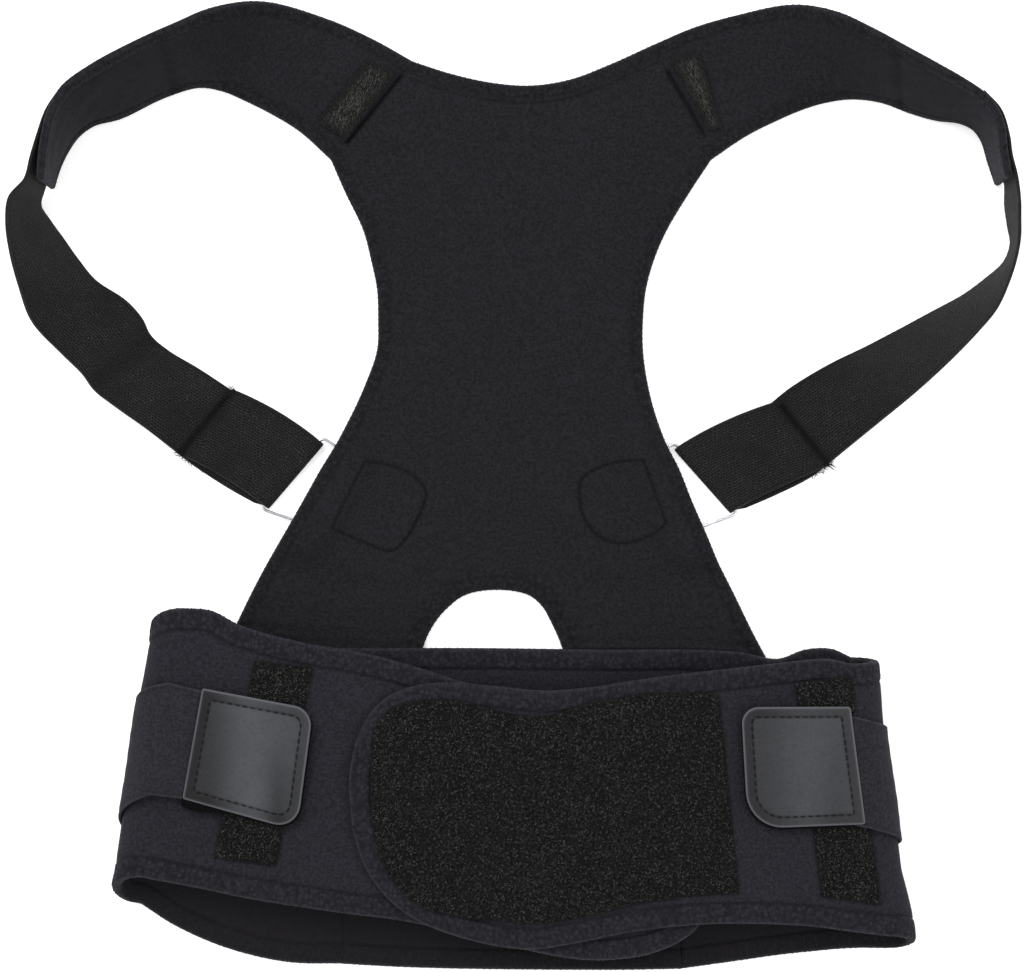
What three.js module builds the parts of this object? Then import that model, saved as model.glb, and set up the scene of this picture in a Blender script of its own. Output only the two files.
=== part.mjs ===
// Posture corrector: a neoprene back panel with shoulder straps, elastic straps on
// wire rings and a wide waist belt, lying on its outer side with the belt closed.
// Millimetres. +Z is up, +Y runs from the waist to the neck, the inner face looks up.
import * as THREE from 'three';

// ---------------------------------------------------------------- named sizes
const GAP = 0.3;               // air kept between neighbouring pieces
const PANEL_T = 3.5;           // neoprene of the back panel
const SHOULDER_T = 3.5;        // padded neoprene of the shoulder straps
const WEBBING_T = 1.6;         // elastic webbing
const WEBBING_W = 40;
const BELT_T = 4.0;            // laminated belt
const BAND_T = 1.6;            // elastic side bands
const PILE_T = 1.2;            // loop-pile patches
const VELVET_T = 0.8;          // velvety shoulder patches
const LEATHER_T = 1.2;         // leatherette tabs
const TAB_T = 1.0;             // cloth tabs that hold the rings
const WIRE_R = 0.9;            // wire of the rings
const REAR_Z = BAND_T + GAP + BELT_T / 2;          // mid height of the belt's rear layer
const LEG_RISE = PANEL_T + GAP - (BAND_T + GAP);   // how much the belt rises over the panel's legs
const LEG_END_Y = -86;         // lower end of the panel's legs, under the belt
const TAB_WIRE_Z = TAB_T + GAP + WIRE_R;           // height of a ring's inner bar
const STRAP_WIRE_Z = WEBBING_T + GAP + WIRE_R;     // height of its outer bar
const ORIGIN = new THREE.Vector3(0.35, -0.3, 0);   // centre of the footprint in the drafting frame

// ---------------------------------------------------------------- helpers
const V = (x, y, z) => new THREE.Vector3(x, y, z);
const mix = (a, b, t) => a + (b - a) * t;
const step = (a, b, x) => { const t = Math.min(1, Math.max(0, (x - a) / (b - a))); return t * t * (3 - 2 * t); };

// Piecewise-linear look-up of column `key` in a table sorted by column `by`.
function lookUp(table, by, key, at) {
  if (at <= table[0][by]) return table[0][key];
  for (let i = 1; i < table.length; i++) {
    if (at <= table[i][by]) {
      const t = (at - table[i - 1][by]) / (table[i][by] - table[i - 1][by]);
      return mix(table[i - 1][key], table[i][key], t);
    }
  }
  return table[table.length - 1][key];
}

// A closed solid from a grid of upper and lower points. Cells for which keep() is
// false are left out, and every open border gets a wall.
function gridSolid(upper, lower, keep = () => true) {
  const nu = upper.length - 1, nv = upper[0].length - 1;
  const position = [], index = [];
  const id = (i, j, side) => 2 * (i * (nv + 1) + j) + side;
  for (let i = 0; i <= nu; i++) for (let j = 0; j <= nv; j++) {
    position.push(...upper[i][j].toArray(), ...lower[i][j].toArray());
  }
  const quad = (a, b, c, d) => index.push(a, b, c, a, c, d);
  const has = (i, j) => i >= 0 && j >= 0 && i < nu && j < nv && keep(i, j);
  for (let i = 0; i < nu; i++) for (let j = 0; j < nv; j++) {
    if (!has(i, j)) continue;
    quad(id(i, j, 0), id(i + 1, j, 0), id(i + 1, j + 1, 0), id(i, j + 1, 0));
    quad(id(i, j, 1), id(i, j + 1, 1), id(i + 1, j + 1, 1), id(i + 1, j, 1));
    if (!has(i - 1, j)) quad(id(i, j + 1, 0), id(i, j + 1, 1), id(i, j, 1), id(i, j, 0));
    if (!has(i + 1, j)) quad(id(i + 1, j, 0), id(i + 1, j, 1), id(i + 1, j + 1, 1), id(i + 1, j + 1, 0));
    if (!has(i, j - 1)) quad(id(i, j, 0), id(i, j, 1), id(i + 1, j, 1), id(i + 1, j, 0));
    if (!has(i, j + 1)) quad(id(i + 1, j + 1, 0), id(i + 1, j + 1, 1), id(i, j + 1, 1), id(i, j + 1, 0));
  }
  return closed(position, index);
}

// Drops unused points and turns the faces outward.
function closed(position, index) {
  const map = new Map(), used = [];
  const compact = index.map((k) => {
    if (!map.has(k)) { map.set(k, used.length / 3); used.push(position[3 * k], position[3 * k + 1], position[3 * k + 2]); }
    return map.get(k);
  });
  let volume = 0;
  const p = (k) => V(used[3 * k], used[3 * k + 1], used[3 * k + 2]);
  for (let k = 0; k < compact.length; k += 3) {
    volume += p(compact[k]).dot(p(compact[k + 1]).cross(p(compact[k + 2])));
  }
  if (volume < 0) for (let k = 0; k < compact.length; k += 3) {
    [compact[k + 1], compact[k + 2]] = [compact[k + 2], compact[k + 1]];
  }
  const geometry = new THREE.BufferGeometry();
  geometry.setAttribute('position', new THREE.Float32BufferAttribute(used, 3));
  geometry.setIndex(compact);
  geometry.computeVertexNormals();
  return geometry;
}

// Smooth samples {a, b} of the two edges of a strip through the given stations.
function smoothStrip(stations, maxStep) {
  const a = new THREE.CatmullRomCurve3(stations.map((s) => s.a), false, 'centripetal');
  const b = new THREE.CatmullRomCurve3(stations.map((s) => s.b), false, 'centripetal');
  const out = [], last = stations.length - 1;
  for (let k = 0; k < last; k++) {
    const length = Math.max(stations[k].a.distanceTo(stations[k + 1].a), stations[k].b.distanceTo(stations[k + 1].b));
    const n = Math.max(1, Math.ceil(length / maxStep));
    for (let m = 0; m < n; m++) out.push({ a: a.getPoint((k + m / n) / last), b: b.getPoint((k + m / n) / last) });
  }
  out.push({ a: a.getPoint(1), b: b.getPoint(1) });
  return out;
}

// Unit normals of a strip at each sample, from its run and its width.
function stripNormals(samples) {
  return samples.map((s, k) => {
    const p = samples[Math.max(0, k - 1)], q = samples[Math.min(samples.length - 1, k + 1)];
    const run = q.a.clone().add(q.b).sub(p.a).sub(p.b);
    return run.cross(s.b.clone().sub(s.a)).normalize();
  });
}

// Mid-surface grid of a strip: points[k][j] at the width shares in `across`.
function stripGrid(samples, across, rise = () => 0) {
  return samples.map((s, k) => across.map((v) => {
    const p = s.a.clone().lerp(s.b, v);
    p.z += rise(p, k);
    return p;
  }));
}

// A strip with constant thickness around its mid-surface. Nothing goes below the table.
function stripSolid(samples, thickness, across = [0, 0.5, 1], rise) {
  const grid = stripGrid(samples, across, rise), normals = stripNormals(samples);
  const offset = (d) => grid.map((row, k) => row.map((p) => {
    const q = p.clone().addScaledVector(normals[k], d);
    return q.setZ(Math.max(0, q.z));
  }));
  return gridSolid(offset(thickness / 2), offset(-thickness / 2));
}

// A flat plate with the given outline, standing on height z.
function plate(outline, z, thickness) {
  const shape = new THREE.Shape(outline.map((p) => new THREE.Vector2(p.x, p.y)));
  const geometry = new THREE.ExtrudeGeometry(shape, { depth: thickness, bevelEnabled: false });
  geometry.translate(0, 0, z);
  return geometry;
}

// A closed wire loop through corners that are rounded with the given radius.
function wireLoop(corners, radius, bend, sides = 7) {
  const path = [];
  corners.forEach((c, k) => {
    const before = corners[(k + corners.length - 1) % corners.length], after = corners[(k + 1) % corners.length];
    const start = c.clone().add(before.clone().sub(c).setLength(bend));
    const end = c.clone().add(after.clone().sub(c).setLength(bend));
    const curve = new THREE.QuadraticBezierCurve3(start, c, end);
    for (let m = 0; m <= 4; m++) path.push(curve.getPoint(m / 4));
    path.push(end.clone().lerp(after, 0.5).addScaledVector(after.clone().sub(c).setLength(bend / 2), -1));
  });
  const n = path.length, position = [], index = [];
  path.forEach((p, k) => {
    const run = path[(k + 1) % n].clone().sub(path[(k + n - 1) % n]).normalize();
    const side = run.clone().cross(V(0, 0, 1)).normalize(), up = side.clone().cross(run);
    for (let s = 0; s < sides; s++) {
      const angle = (2 * Math.PI * (s + 0.5)) / sides;
      position.push(...p.clone().addScaledVector(side, radius * Math.cos(angle)).addScaledVector(up, radius * Math.sin(angle)).toArray());
    }
  });
  for (let k = 0; k < n; k++) for (let s = 0; s < sides; s++) {
    const a = k * sides + s, b = k * sides + ((s + 1) % sides);
    const c = ((k + 1) % n) * sides + ((s + 1) % sides), d = ((k + 1) % n) * sides + s;
    index.push(a, b, c, a, c, d);
  }
  return closed(position, index);
}

// ---------------------------------------------------------------- group and materials
const group = new THREE.Group();
group.position.copy(ORIGIN).multiplyScalar(-1);
const NEOPRENE = { color: 0x1d1d23, roughness: 0.85, metalness: 0 };
const ELASTIC = { color: 0x1c1c1f, roughness: 0.8, metalness: 0 };
const PILE = { color: 0x111113, roughness: 0.95, metalness: 0 };
const LEATHERETTE = { color: 0x46484f, roughness: 0.5, metalness: 0 };
const WIRE = { color: 0xc4c6ca, roughness: 0.25, metalness: 1 };
function add(name, geometry, look) {
  const mesh = new THREE.Mesh(geometry, new THREE.MeshStandardMaterial(look));
  mesh.name = name;
  group.add(mesh);
}

// ---------------------------------------------------------------- rings and their places
// Where each strap folds round its ring, and where its end lies on the strap again.
const FOLD_BACK = {
  left: { fold: { topX: -90.0, topY: 19.9, lowX: -116.6, lowY: -11.2 }, end: { topX: -132.8, topY: 46.0, lowX: -158.9, lowY: 15.0 } },
  right: { fold: { topX: 77.5, topY: 17.2, lowX: 104.6, lowY: -13.4 }, end: { topX: 126.2, topY: 40.4, lowX: 151.4, lowY: 9.4 } },
};
const FOLD_R = WIRE_R + GAP + WEBBING_T / 2;      // mid radius of the strap's turn round the wire
const FOLD_REACH = FOLD_R + WEBBING_T / 2;        // from the fold's outer edge to the wire's axis
const OVERHANG = 2.3;                             // how far the outer bar shows past the strap's edges
// Inner bar B-C of each ring, held in its tab. The outer bar A-D lies in the strap's fold.
const INNER_BAR = {
  left: { B: V(-80.1, 15.8, TAB_WIRE_Z), C: V(-99.7, -17.7, TAB_WIRE_Z) },
  right: { B: V(69.5, 14.9, TAB_WIRE_Z), C: V(85.3, -21.6, TAB_WIRE_Z) },
};
function foldFrame(side) {
  const { fold } = FOLD_BACK[side];
  const a = V(fold.topX, fold.topY, 0), b = V(fold.lowX, fold.lowY, 0);
  const along = b.clone().sub(a).normalize();
  const toPanel = V(-along.y, along.x, 0).multiplyScalar(side === 'left' ? 1 : -1);
  return { a, b, along, toPanel };
}
const RINGS = {};
for (const side of ['left', 'right']) {
  const { a, b, along, toPanel } = foldFrame(side);
  RINGS[side] = {
    ...INNER_BAR[side],
    A: a.clone().addScaledVector(along, -OVERHANG).addScaledVector(toPanel, -FOLD_REACH).setZ(STRAP_WIRE_Z),
    D: b.clone().addScaledVector(along, OVERHANG).addScaledVector(toPanel, -FOLD_REACH).setZ(STRAP_WIRE_Z),
  };
}
for (const side of ['left', 'right']) {
  const r = RINGS[side];
  add(`strap_ring_${side}`, wireLoop([r.A, r.B, r.C, r.D], WIRE_R, 2), WIRE);
}

// Cloth tabs: edge points of the stitched tongue from the ring's inner bar inward.
const TAB_OUTLINES = {
  left: [
    { topX: -84.2, topY: 10.6, lowX: -97.2, lowY: -11.6 },
    { topX: -71.2, topY: 12.6, lowX: -86.6, lowY: -21.4 },
    { topX: -58.6, topY: 11.4, lowX: -70.7, lowY: -28.2 },
    { topX: -45.2, topY: 5.2, lowX: -56.8, lowY: -32.6 },
    { topX: -40.2, topY: -2.6, lowX: -50.6, lowY: -28.0 },
  ],
  right: [
    { topX: 72.2, topY: 9.6, lowX: 82.6, lowY: -14.4 },
    { topX: 62.9, topY: 13.2, lowX: 74.6, lowY: -19.4 },
    { topX: 53.6, topY: 13.3, lowX: 66.3, lowY: -25.4 },
    { topX: 41.8, topY: 10.6, lowX: 52.6, lowY: -28.8 },
    { topX: 32.0, topY: 4.6, lowX: 42.2, lowY: -26.2 },
    { topX: 31.0, topY: -6.0, lowX: 35.4, lowY: -19.4 },
  ],
};
for (const side of ['left', 'right']) {
  const rows = TAB_OUTLINES[side], ring = RINGS[side];
  const along = ring.C.clone().sub(ring.B).setZ(0).normalize();
  const inward = V(-along.y, along.x, 0).multiplyScalar(side === 'left' ? 1 : -1);
  const at = (row, z) => ({ a: V(row.topX, row.topY, z), b: V(row.lowX, row.lowY, z) });
  const moved = (s, d, z) => ({ a: s.a.clone().addScaledVector(inward, d).setZ(z), b: s.b.clone().addScaledVector(inward, d).setZ(z) });
  const radius = WIRE_R + GAP + TAB_T / 2;
  const lower = rows.slice(1).reverse().map((row) => at(row, TAB_T / 2));
  // the first row is on the bar's own line
  const bar = at(rows[0], 0);
  const onBar = (p) => { const t = p.clone().sub(ring.B).setZ(0).dot(along); return ring.B.clone().addScaledVector(along, t); };
  bar.a = onBar(bar.a); bar.b = onBar(bar.b);
  const wrap = [];
  for (let k = 0; k <= 6; k++) {
    const angle = (Math.PI * k) / 6;
    wrap.push(moved(bar, -radius * Math.sin(angle), TAB_WIRE_Z - radius * Math.cos(angle)));
  }
  const back = [4, 9, 13].map((d) => moved(bar, d, mix(TAB_WIRE_Z + radius, TAB_T * 1.5 + GAP, step(1, 8, d))));
  add(`ring_tab_${side}`, stripSolid([...smoothStrip(lower, 12), ...wrap, ...back], TAB_T, [0, 0.5, 1]), NEOPRENE);
}

// ---------------------------------------------------------------- back panel
// Edges of the panel row by row, and the arch cut out between its legs.
const PANEL_ROWS = [
  { y: 156.3, left: -86.8, right: 95.4 },
  { y: 141.0, left: -80.1, right: 85.3 },
  { y: 122.7, left: -71.4, right: 74.3 },
  { y: 108.4, left: -67.6, right: 68.1 },
  { y: 94.0, left: -64.7, right: 64.2 },
  { y: 79.6, left: -64.2, right: 62.8 },
  { y: 65.2, left: -64.7, right: 62.8 },
  { y: 50.8, left: -69.5, right: 64.7 },
  { y: 36.4, left: -75.8, right: 68.1 },
  { y: 22.1, left: -82.9, right: 72.9 },
  { y: 7.7, left: -91.6, right: 80.1 },
  { y: -6.7, left: -99.7, right: 85.8 },
  { y: -21.1, left: -107.9, right: 92.1 },
  { y: -35.5, left: -116.5, right: 98.3 },
  { y: -50.3, left: -124.4, right: 105.7 },
  { y: -71.4, left: -134.7, right: 116.0 },
  { y: LEG_END_Y, left: -142.4, right: 123.8 },
];
const ARCH_ROWS = [
  { y: -50.3, left: -14.4, right: 0.0 },
  { y: -53.0, left: -23.8, right: 9.2 },
  { y: -58.5, left: -30.9, right: 15.0 },
  { y: -64.2, left: -36.0, right: 18.2 },
  { y: -71.4, left: -40.3, right: 21.6 },
  { y: -77.7, left: -42.7, right: 24.0 },
  { y: LEG_END_Y, left: -45.4, right: 25.6 },
];
const NECK = [
  { x: -47.4, y: 203.5 }, { x: -29.7, y: 197.8 }, { x: -10.5, y: 193.5 }, { x: 8.6, y: 192.0 },
  { x: 27.8, y: 194.9 }, { x: 46.9, y: 202.1 }, { x: 67.0, y: 211.2 },
];
const ARCH_TOP = ARCH_ROWS[0].y;
// Height of the panel's underside: it lies on the table, and rises over rings and tabs.
function underPanel(x, y) {
  let z = 0;
  for (const side of ['left', 'right']) {
    const { B, C } = RINGS[side], d = C.clone().sub(B).setZ(0);
    const t = Math.min(1, Math.max(0, V(x - B.x, y - B.y, 0).dot(d) / d.lengthSq()));
    const far = Math.hypot(x - B.x - t * d.x, y - B.y - t * d.y);
    z = Math.max(z, mix(TAB_T * 2 + WIRE_R * 2 + GAP * 3 + 0.3, 0, step(9.5, 24, far)));
    const rows = TAB_OUTLINES[side];
    for (const row of rows.slice(1)) {
      const e = V(row.lowX - row.topX, row.lowY - row.topY, 0);
      const s = Math.min(1, Math.max(0, V(x - row.topX, y - row.topY, 0).dot(e) / e.lengthSq()));
      const off = Math.hypot(x - row.topX - s * e.x, y - row.topY - s * e.y);
      z = Math.max(z, mix(TAB_T + GAP + 0.1, 0, step(11, 19, off)));
    }
  }
  return z;
}
{
  const shares = [];                       // where each column stands between the panel's edges
  const LEFT = 9, MIDDLE = 2, RIGHT = 9;   // columns left of, over and right of the arch
  for (let i = 0; i <= LEFT + MIDDLE + RIGHT; i++) shares.push(i);
  const rowPoints = (left, innerLeft, innerRight, right) => shares.map((i) => {
    if (i <= LEFT) return mix(left, innerLeft, i / LEFT);
    if (i <= LEFT + MIDDLE) return mix(innerLeft, innerRight, (i - LEFT) / MIDDLE);
    return mix(innerRight, right, (i - LEFT - MIDDLE) / RIGHT);
  });
  const rows = [];
  const inner = (l, r) => [mix(l, r, 0.478), mix(l, r, 0.541)];
  const neckXs = rowPoints(NECK[0].x, ...inner(NECK[0].x, NECK[6].x), NECK[6].x);
  const first = PANEL_ROWS[0];
  const firstXs = rowPoints(first.left, ...inner(first.left, first.right), first.right);
  for (let k = 0; k < 5; k++) {            // from the neck edge down to the armholes
    rows.push(neckXs.map((x, i) => V(mix(x, firstXs[i], k / 5), mix(lookUp(NECK, 'x', 'y', x), first.y, k / 5), 0)));
  }
  const ys = [];
  for (let k = 0; k < PANEL_ROWS.length - 1; k++) {
    const from = PANEL_ROWS[k].y, to = Math.max(PANEL_ROWS[k + 1].y, ARCH_TOP);
    if (from <= ARCH_TOP) break;
    const n = Math.ceil((from - to) / 8.2);
    for (let m = 0; m < n; m++) ys.push(mix(from, to, m / n));
  }
  ARCH_ROWS.forEach((row) => ys.push(row.y));
  const down = PANEL_ROWS.map((row) => ({ ...row, d: -row.y }));
  const archDown = ARCH_ROWS.map((row) => ({ ...row, d: -row.y }));
  for (const y of ys) {
    const l = lookUp(down, 'd', 'left', -y), r = lookUp(down, 'd', 'right', -y);
    const [il, ir] = y >= ARCH_TOP ? inner(l, r) : [0, 0];
    const blend = step(20, ARCH_TOP, y);
    const innerL = y >= ARCH_TOP ? mix(il, ARCH_ROWS[0].left, blend) : lookUp(archDown, 'd', 'left', -y);
    const innerR = y >= ARCH_TOP ? mix(ir, ARCH_ROWS[0].right, blend) : lookUp(archDown, 'd', 'right', -y);
    rows.push(rowPoints(l, innerL, innerR, r).map((x) => V(x, y, 0)));
  }
  const archRow = rows.length - ARCH_ROWS.length;
  const lower = rows.map((row) => row.map((p) => V(p.x, p.y, underPanel(p.x, p.y))));
  const upper = lower.map((row) => row.map((p) => V(p.x, p.y, p.z + PANEL_T)));
  add('back_panel', gridSolid(upper, lower, (i, j) => !(i >= archRow && j >= LEFT && j < LEFT + MIDDLE)), NEOPRENE);
}

// ---------------------------------------------------------------- straps
// x, y: foot of the strap's lower edge. dir: heading of its width in plan, degrees.
// tilt: how steeply the width stands up, degrees.
const SHOULDER = {
  left: [
    { x: -87.1, y: 156.2, dir: 50.6, width: 62.0, tilt: 0 },
    { x: -101.6, y: 169.7, dir: 52.5, width: 56.5, tilt: 0 },
    { x: -114.9, y: 178.0, dir: 60.0, width: 53.0, tilt: 0 },
    { x: -128.0, y: 184.6, dir: 77.0, width: 48.5, tilt: 14 },
    { x: -139.1, y: 189.7, dir: 92.0, width: 47.5, tilt: 43 },
    { x: -150.2, y: 191.8, dir: 106.0, width: 47.5, tilt: 60 },
    { x: -167.2, y: 187.4, dir: 112.0, width: 47.3, tilt: 65 },
    { x: -188.2, y: 177.5, dir: 115.0, width: 47.0, tilt: 66.5 },
    { x: -200.7, y: 174.8, dir: 127.0, width: 46.5, tilt: 74 },
    { x: -209.2, y: 169.6, dir: 141.0, width: 46.0, tilt: 81 },
    { x: -215.2, y: 161.9, dir: 153.0, width: 46.0, tilt: 86 },
    { x: -219.4, y: 153.0, dir: 160.0, width: 46.0, tilt: 90 },
    { x: -222.4, y: 143.0, dir: 166.0, width: 46.0, tilt: 93 },
  ],
  right: [
    { x: 95.7, y: 156.6, dir: 117.2, width: 62.0, tilt: 0 },
    { x: 111.7, y: 167.3, dir: 115.5, width: 58.0, tilt: 0 },
    { x: 124.7, y: 174.0, dir: 109.0, width: 54.5, tilt: 0 },
    { x: 139.5, y: 180.4, dir: 98.0, width: 50.4, tilt: 10 },
    { x: 151.5, y: 184.2, dir: 89.0, width: 48.5, tilt: 34 },
    { x: 163.3, y: 186.0, dir: 80.0, width: 48.0, tilt: 52 },
    { x: 177.1, y: 185.0, dir: 74.0, width: 47.5, tilt: 65 },
    { x: 191.5, y: 180.4, dir: 70.0, width: 47.0, tilt: 69.5 },
    { x: 203.7, y: 177.2, dir: 65.0, width: 46.5, tilt: 74 },
    { x: 214.5, y: 175.9, dir: 57.0, width: 46.0, tilt: 81 },
    { x: 221.9, y: 172.4, dir: 46.0, width: 46.0, tilt: 85 },
    { x: 226.8, y: 166.2, dir: 32.0, width: 46.0, tilt: 88 },
    { x: 230.6, y: 156.2, dir: 22.0, width: 46.0, tilt: 91 },
    { x: 234.6, y: 144.4, dir: 17.0, width: 46.0, tilt: 93 },
  ],
};
const ELASTIC_RUN = {
  left: [
    { x: -226.3, y: 134.6, dir: 178.0, width: WEBBING_W, tilt: 77 },
    { x: -224.4, y: 126.0, dir: 194.0, width: WEBBING_W, tilt: 68 },
    { x: -218.1, y: 117.2, dir: 203.0, width: WEBBING_W, tilt: 57 },
    { x: -210.2, y: 107.6, dir: 210.0, width: WEBBING_W, tilt: 46 },
    { x: -200.4, y: 98.3, dir: 216.5, width: WEBBING_W, tilt: 35 },
    { x: -187.8, y: 89.0, dir: 221.5, width: WEBBING_W, tilt: 23 },
    { x: -174.3, y: 77.4, dir: 225.0, width: WEBBING_W, tilt: 10 },
    { x: -165.0, y: 66.4, dir: 228.0, width: WEBBING_W, tilt: 12 },
    { x: -149.6, y: 56.2, dir: 229.5, width: WEBBING_W, tilt: 6 },
  ],
  right: [
    { x: 236.9, y: 134.0, dir: 8.0, width: WEBBING_W, tilt: 89.5 },
    { x: 238.4, y: 125.0, dir: -3.0, width: WEBBING_W, tilt: 91.5 },
    { x: 239.6, y: 116.0, dir: -15.0, width: WEBBING_W, tilt: 93.5 },
    { x: 236.4, y: 107.4, dir: -28.0, width: WEBBING_W, tilt: 91 },
    { x: 228.0, y: 99.6, dir: -36.0, width: WEBBING_W, tilt: 84 },
    { x: 217.0, y: 91.6, dir: -41.0, width: WEBBING_W, tilt: 74.5 },
    { x: 204.4, y: 84.8, dir: -44.5, width: WEBBING_W, tilt: 67.5 },
    { x: 188.8, y: 76.6, dir: -47.0, width: WEBBING_W, tilt: 57.5 },
    { x: 171.2, y: 67.2, dir: -49.0, width: WEBBING_W, tilt: 45 },
    { x: 151.4, y: 57.0, dir: -50.5, width: WEBBING_W, tilt: 28 },
    { x: 132.6, y: 46.8, dir: -50.5, width: WEBBING_W, tilt: 10 },
    { x: 117.0, y: 38.6, dir: -50.0, width: WEBBING_W, tilt: 0 },
  ],
};
function station(row, thickness) {
  const tilt = THREE.MathUtils.degToRad(row.tilt), dir = THREE.MathUtils.degToRad(row.dir);
  const a = V(row.x, row.y, (thickness / 2) * Math.abs(Math.cos(tilt)));
  const across = V(Math.cos(dir) * Math.cos(tilt), Math.sin(dir) * Math.cos(tilt), Math.sin(tilt));
  return { a, b: a.clone().addScaledVector(across, row.width) };
}
for (const side of ['left', 'right']) {
  const shoulder = smoothStrip(SHOULDER[side].map((row) => station(row, SHOULDER_T)), 11);
  add(`shoulder_strap_${side}`, stripSolid(shoulder, SHOULDER_T, [0, 0.34, 0.67, 1]), NEOPRENE);

  // The webbing starts on the outer face of the shoulder strap, 20 mm before its end.
  const normals = stripNormals(shoulder), away = side === 'left' ? -1 : 1;
  const lap = [], outward = SHOULDER_T / 2 + GAP + WEBBING_T / 2, splay = side === 'left' ? 3.4 : 0.4;
  for (let k = shoulder.length - 3; k < shoulder.length; k++) {
    const s = shoulder[k], n = normals[k].clone();
    if (n.x * away < 0) n.negate();
    const margin = (1 - WEBBING_W / s.a.distanceTo(s.b)) / 2;
    lap.push({ a: s.a.clone().lerp(s.b, margin).addScaledVector(n, outward), b: s.a.clone().lerp(s.b, 1 - margin).addScaledVector(n, outward + splay * (lap.length + 0.2)) });
  }
  const run = ELASTIC_RUN[side].map((row) => station(row, WEBBING_T));
  // To the ring, round its outer bar, and back on top.
  const bar = foldFrame(side), { end } = FOLD_BACK[side], { toPanel } = bar;
  const tail = { a: V(end.topX, end.topY, 0), b: V(end.lowX, end.lowY, 0) };
  const radius = FOLD_R, reach = FOLD_REACH;
  const shift = (s, d, z) => ({ a: s.a.clone().addScaledVector(toPanel, d).setZ(z), b: s.b.clone().addScaledVector(toPanel, d).setZ(z) });
  const wrap = [];
  for (let k = 0; k <= 6; k++) {
    const angle = (Math.PI * k) / 6;
    wrap.push(shift(bar, -reach + radius * Math.sin(angle), STRAP_WIRE_Z - radius * Math.cos(angle)));
  }
  const low = WEBBING_T / 2, high = WEBBING_T * 1.5 + GAP + 0.15;
  const approach = [shift(bar, -reach - 12, low), shift(bar, -reach - 4, low)];
  const back = [0.12, 0.3, 0.6, 1].map((t) => {
    const s = { a: bar.a.clone().addScaledVector(toPanel, -reach).lerp(tail.a, t), b: bar.b.clone().addScaledVector(toPanel, -reach).lerp(tail.b, t) };
    s.a.z = s.b.z = mix(STRAP_WIRE_Z + radius, high, step(0, 0.3, t));
    return s;
  });
  const samples = [...smoothStrip([...lap, ...run, ...approach], 11.5).slice(0, -1), approach[1], ...wrap, ...back];
  add(`elastic_strap_${side}`, stripSolid(samples, WEBBING_T, [0, 0.5, 1]), ELASTIC);
}

// Velvety patches on the shoulder straps, beside their seams.
add('shoulder_patch_left', plate([V(-69.9, 203.4), V(-56.4, 199.4), V(-79.2, 164.9), V(-94.4, 174.2)], SHOULDER_T + GAP, VELVET_T), PILE);
add('shoulder_patch_right', plate([V(75.4, 205.0), V(88.7, 208.2), V(99.9, 170.6), V(93.3, 169.4)], SHOULDER_T + GAP, VELVET_T), PILE);

// ---------------------------------------------------------------- waist belt
// Mid-surface of the belt, section by section: its top and lower edge and its height.
const REAR_HALF = 81.1;        // half length of the rear section, seam to seam
const WING_REAR = {
  left: [
    { topX: -81.4, topY: -77.6, lowX: -81.4, lowY: -228.6, z: REAR_Z },
    { topX: -107.2, topY: -76.1, lowX: -107.2, lowY: -226.9, z: REAR_Z },
    { topX: -132.6, topY: -74.7, lowX: -136.0, lowY: -219.7, z: REAR_Z },
    { topX: -148.4, topY: -72.8, lowX: -160.9, lowY: -209.2, z: REAR_Z },
  ],
  right: [
    { topX: 81.4, topY: -78.0, lowX: 81.4, lowY: -231.0, z: REAR_Z },
    { topX: 109.2, topY: -78.5, lowX: 106.8, lowY: -227.4, z: REAR_Z },
    { topX: 134.5, topY: -79.0, lowX: 133.1, lowY: -224.1, z: REAR_Z },
    { topX: 151.0, topY: -79.5, lowX: 158.6, lowY: -221.6, z: REAR_Z },
  ],
};
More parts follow.
